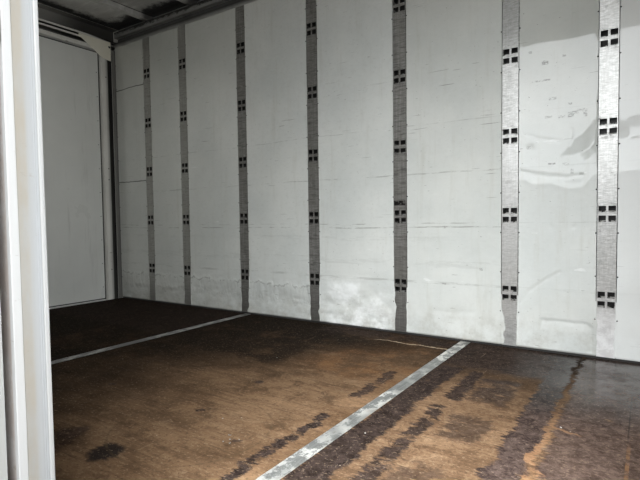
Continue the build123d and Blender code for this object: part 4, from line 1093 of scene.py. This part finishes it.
def strap_bolts(door, side):
    """Coach bolts through a rear door's hinge straps, set on the straps' real faces."""
    straps = nodes[door + "_hinges"]
    places = []
    for low, high in solids_of(door + "_hinges"):
        middle = (low.z + high.z) / 2
        for across in (0.88, 0.93, 0.98):
            start = straps.matrix_world.inverted() @ Vector((-3.5, side * across, middle))
            found, spot, normal, _ = straps.ray_cast(start, Vector((1, 0, 0)))
            if found and normal.x < -0.9:
                places.append((straps.matrix_world @ spot, (-1, 0, 0)))
    rivets(door + "_strap_bolts", places, "fitting_metal", door + "_door", radius=0.0085, height=0.0042,
           sides=12)


strap_bolts("rear_left", 1)
strap_bolts("rear_right", -1)


# Torn sheet edges that lap over the feet of the wall posts
LAP_FOOT, LAP_HIGH, LAP_STEPS = 0.016, 0.3, 26


def sheet_laps():
    """A torn edge on both sides of each post, longest at four of them."""
    data = bmesh.new()
    for index, x in enumerate(POSTS[:7]):
        for side in (-1, 1):
            seed = index * 2.7 + side
            worn = 1 if (index, side) in ((2, 1), (3, 1), (4, -1), (5, -1)) else 0.35
            edge = x + side * 0.045
            sections = []
            for k in range(LAP_STEPS + 1):
                z = LAP_FOOT + LAP_HIGH * k / LAP_STEPS
                fade = 1 - (k / LAP_STEPS) ** 2
                bulge = max(0, noise.noise(Vector((seed, z * 19, 0))) + 0.15)
                reach = (0.002 + worn * 0.032 * bulge) * fade
                lift = 0.0012 + 0.003 * abs(noise.noise(Vector((seed, z * 33, 5)))) * fade
                inner = edge - side * reach
                outer = edge + side * 0.006
                wall = HALF - 0.0001
                ring = [(inner, wall), (inner, wall - lift), (edge, wall - lift - 0.0006),
                        (outer, wall - 0.0004), (outer, wall)]
                sections.append([data.verts.new((a, b, FLOOR + z)) for a, b in ring])
            skin(data, sections, flip=side > 0)
    piece_from(data, "sheet_laps", "lining_paint", sharp=30)


sheet_laps()


# Ribs of the jambs' faces, each (start from the jamb's inner edge, width, height above the face)
RIBS = ((0.0008, 0.0112, 0.0024), (0.015, 0.0022, 0.0008), (0.0205, 0.0022, 0.0007), (0.0655, 0.0222, 0.002))


def jamb_ribs():
    """Low ribs along both jambs."""
    data = bmesh.new()
    for face, way in ((DOORWAY[0], 1), (DOORWAY[1], -1)):
        for start, wide, proud in RIBS:
            round_off = min(0.25 * wide, proud)
            section = ((start, -0.0001), (start, proud * 0.4), (start + round_off, proud),
                       (start + wide - round_off, proud), (start + wide, proud * 0.4), (start + wide, -0.0001))
            ends = []
            for z in (FLOOR + 0.002, FLOOR + DOORWAY_HIGH - 0.002):
                ends.append([data.verts.new((face + way * out, -HALF - t, z)) for t, out in section])
            skin(data, ends, flip=way > 0)
    piece_from(data, "jamb_ribs", "jamb_paint", sharp=25)


jamb_ribs()


# Door seals and edges: a rubber bead along the rim, then a painted edge strip

def ring_piece(name, slot_name, body, box, profile, place, flip):
    """A closed mitred ring round a rectangle; profile holds (from the rim, below the face) pairs."""
    data = bmesh.new()
    (a0, b0), (a1, b1) = box
    loops = []
    for rim, below in profile:
        corners = ((a0 + rim, b0 + rim), (a1 - rim, b0 + rim), (a1 - rim, b1 - rim), (a0 + rim, b1 - rim))
        loops.append([data.verts.new(place(a, b, below)) for a, b in corners])
    skin(data, loops, flip, capped=False, ring=True)
    return piece_from(data, name, slot_name, body, sharp=40)


BEAD = ((0.001, 0.0118), (0.001, 0.0016), (0.0024, 0.0004), (0.0086, 0.0004), (0.0102, 0.0022),
        (0.0102, 0.0118))
TRIM = ((0.0106, 0.0118), (0.0106, 0.0022), (0.0114, 0.0012), (0.017, 0.0012), (0.0178, 0.0022),
        (0.0178, 0.0118))


def box_of(node):
    """The box round a CAD node, in the scene."""
    return box_round([nodes[node].matrix_world @ v.co for v in nodes[node].data.vertices])


def door_seals(door, across, face, sign):
    """Replace one door's plain seal; across is its wide axis, sign points from the face into the leaf."""
    low, high = box_of(door + "_gasket")
    box = ((low[across], low.z), (high[across], high.z))
    if across == 1:
        def place(a, b, level):
            return (face + sign * level, a, b)
    else:
        def place(a, b, level):
            return (a, face + sign * level, b)
    flip = (sign < 0) == (across == 1)
    body = door + "_door"
    bead = ring_piece(door + "_seal_bead", "gasket_rubber", body, box, BEAD, place, flip)
    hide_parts(door + "_gasket")
    ring_piece(door + "_edge_strip", "door_paint", body, box, TRIM, place, flip)


for door in ("rear_left", "rear_right"):
    door_seals(door, 1, box_of(door + "_gasket")[1].x, -1)
for door in ("side_rear", "side_front"):
    door_seals(door, 0, box_of(door + "_gasket")[0].y, 1)

# ---------------------------------------------------------------- stage, light, camera

ground = bmesh.new()
bmesh.ops.create_grid(ground, x_segments=8, y_segments=8, size=30)
ground_mesh = bpy.data.meshes.new("studio_floor")
ground.to_mesh(ground_mesh)
ground.free()
studio_floor = bpy.data.objects.new("studio_floor", ground_mesh)
scene.collection.objects.link(studio_floor)
ground_mesh.materials.append(ground_finish())

world = bpy.data.worlds.new("studio")
scene.world = world
world.use_nodes = True
world.node_tree.nodes["Background"].inputs["Color"].default_value = (0.95, 0.975, 1, 1)
world.node_tree.nodes["Background"].inputs["Strength"].default_value = 0.92


def area_light(name, place, aim, width, height, power, colour=(1, 1, 1), glossy=True, diffuse=True,
               spread=180):
    """A rectangle of light that the camera doesn't see, at a place and turned towards an aim."""
    light = bpy.data.lights.new(name, "AREA")
    light.shape = "RECTANGLE"
    light.size = width
    light.size_y = height
    light.energy = power
    light.spread = math.radians(spread)
    light.color = colour
    holder = bpy.data.objects.new(name, light)
    scene.collection.objects.link(holder)
    holder.location = place
    holder.rotation_euler = (Vector(aim) - Vector(place)).to_track_quat("-Z", "Y").to_euler()
    holder.visible_camera = False
    holder.visible_glossy = glossy
    holder.visible_diffuse = diffuse
    return holder


# Daylight that comes in through the side doorway: slats that shine down from the sky,
# one soft sheet for the light from the ground, and the bright doorway that gloss mirrors
DAY = (0.94, 0.98, 1)
SLATS = 5
for slat in range(SLATS):
    height = FLOOR + DOORWAY_HIGH * (slat + 0.5) / SLATS
    area_light(f"sky_slat_{slat}", (0.95, -0.8, height), (0.4, 0.22, height - 1.05), 1.2, 0.36, 7.1, DAY,
               glossy=False, spread=106)
area_light("ground_bounce", (1, -HALF, FLOOR + DOORWAY_HIGH / 2), (1, 0, FLOOR + DOORWAY_HIGH / 2), 1.62, 2.34,
           9.2, (1, 0.98, 0.94), glossy=False)
area_light("doorway_glow", (1, -1.205, FLOOR + 1.84), (1, 0, FLOOR + 1.84), 1.75, 1.32, 20.5, DAY,
           diffuse=False)
area_light("jamb_light", (1.84, -1.236, FLOOR + 1.25), (0.12, -1.236, FLOOR + 1.25), 0.07, 2.3, 3.4, DAY,
           glossy=False, spread=60)
area_light("inner_bounce", (-1.5, -0.88, FLOOR + 1.6), (-2, 0, FLOOR + 1.6), 1, 1.5, 4, (1, 0.99, 0.95),
           glossy=False, spread=130)
area_light("studio_key", (4, -7, 7.5), (0, 0, 1.2), 5, 5, 230, glossy=False)
area_light("studio_fill", (-8, 6, 6), (0, 0, 1.2), 6, 5, 170, glossy=False)

# The photo's camera, fitted to its straight lines
EYE = (1.41, -1.856, 1.042)
FOCAL, SENSOR = 27.76, 36
YAW, PITCH, ROLL = (math.radians(v) for v in (33.6825, 2.524, -0.7458))
forward = Vector((-math.sin(YAW) * math.cos(PITCH), math.cos(YAW) * math.cos(PITCH), -math.sin(PITCH)))
level = Vector((math.cos(YAW), math.sin(YAW), 0))
upward = level.cross(forward)
right = math.cos(ROLL) * level + math.sin(ROLL) * upward
above = -math.sin(ROLL) * level + math.cos(ROLL) * upward
lens = bpy.data.cameras.new("photo_camera")
lens.lens = FOCAL
lens.sensor_width = SENSOR
lens.clip_start = 0.02
camera = bpy.data.objects.new("photo_camera", lens)
scene.collection.objects.link(camera)
turn = Matrix((right, above, -forward)).transposed().to_4x4()
camera.matrix_world = Matrix.Translation(EYE) @ turn
scene.camera = camera
scene.view_settings.view_transform = "Standard"
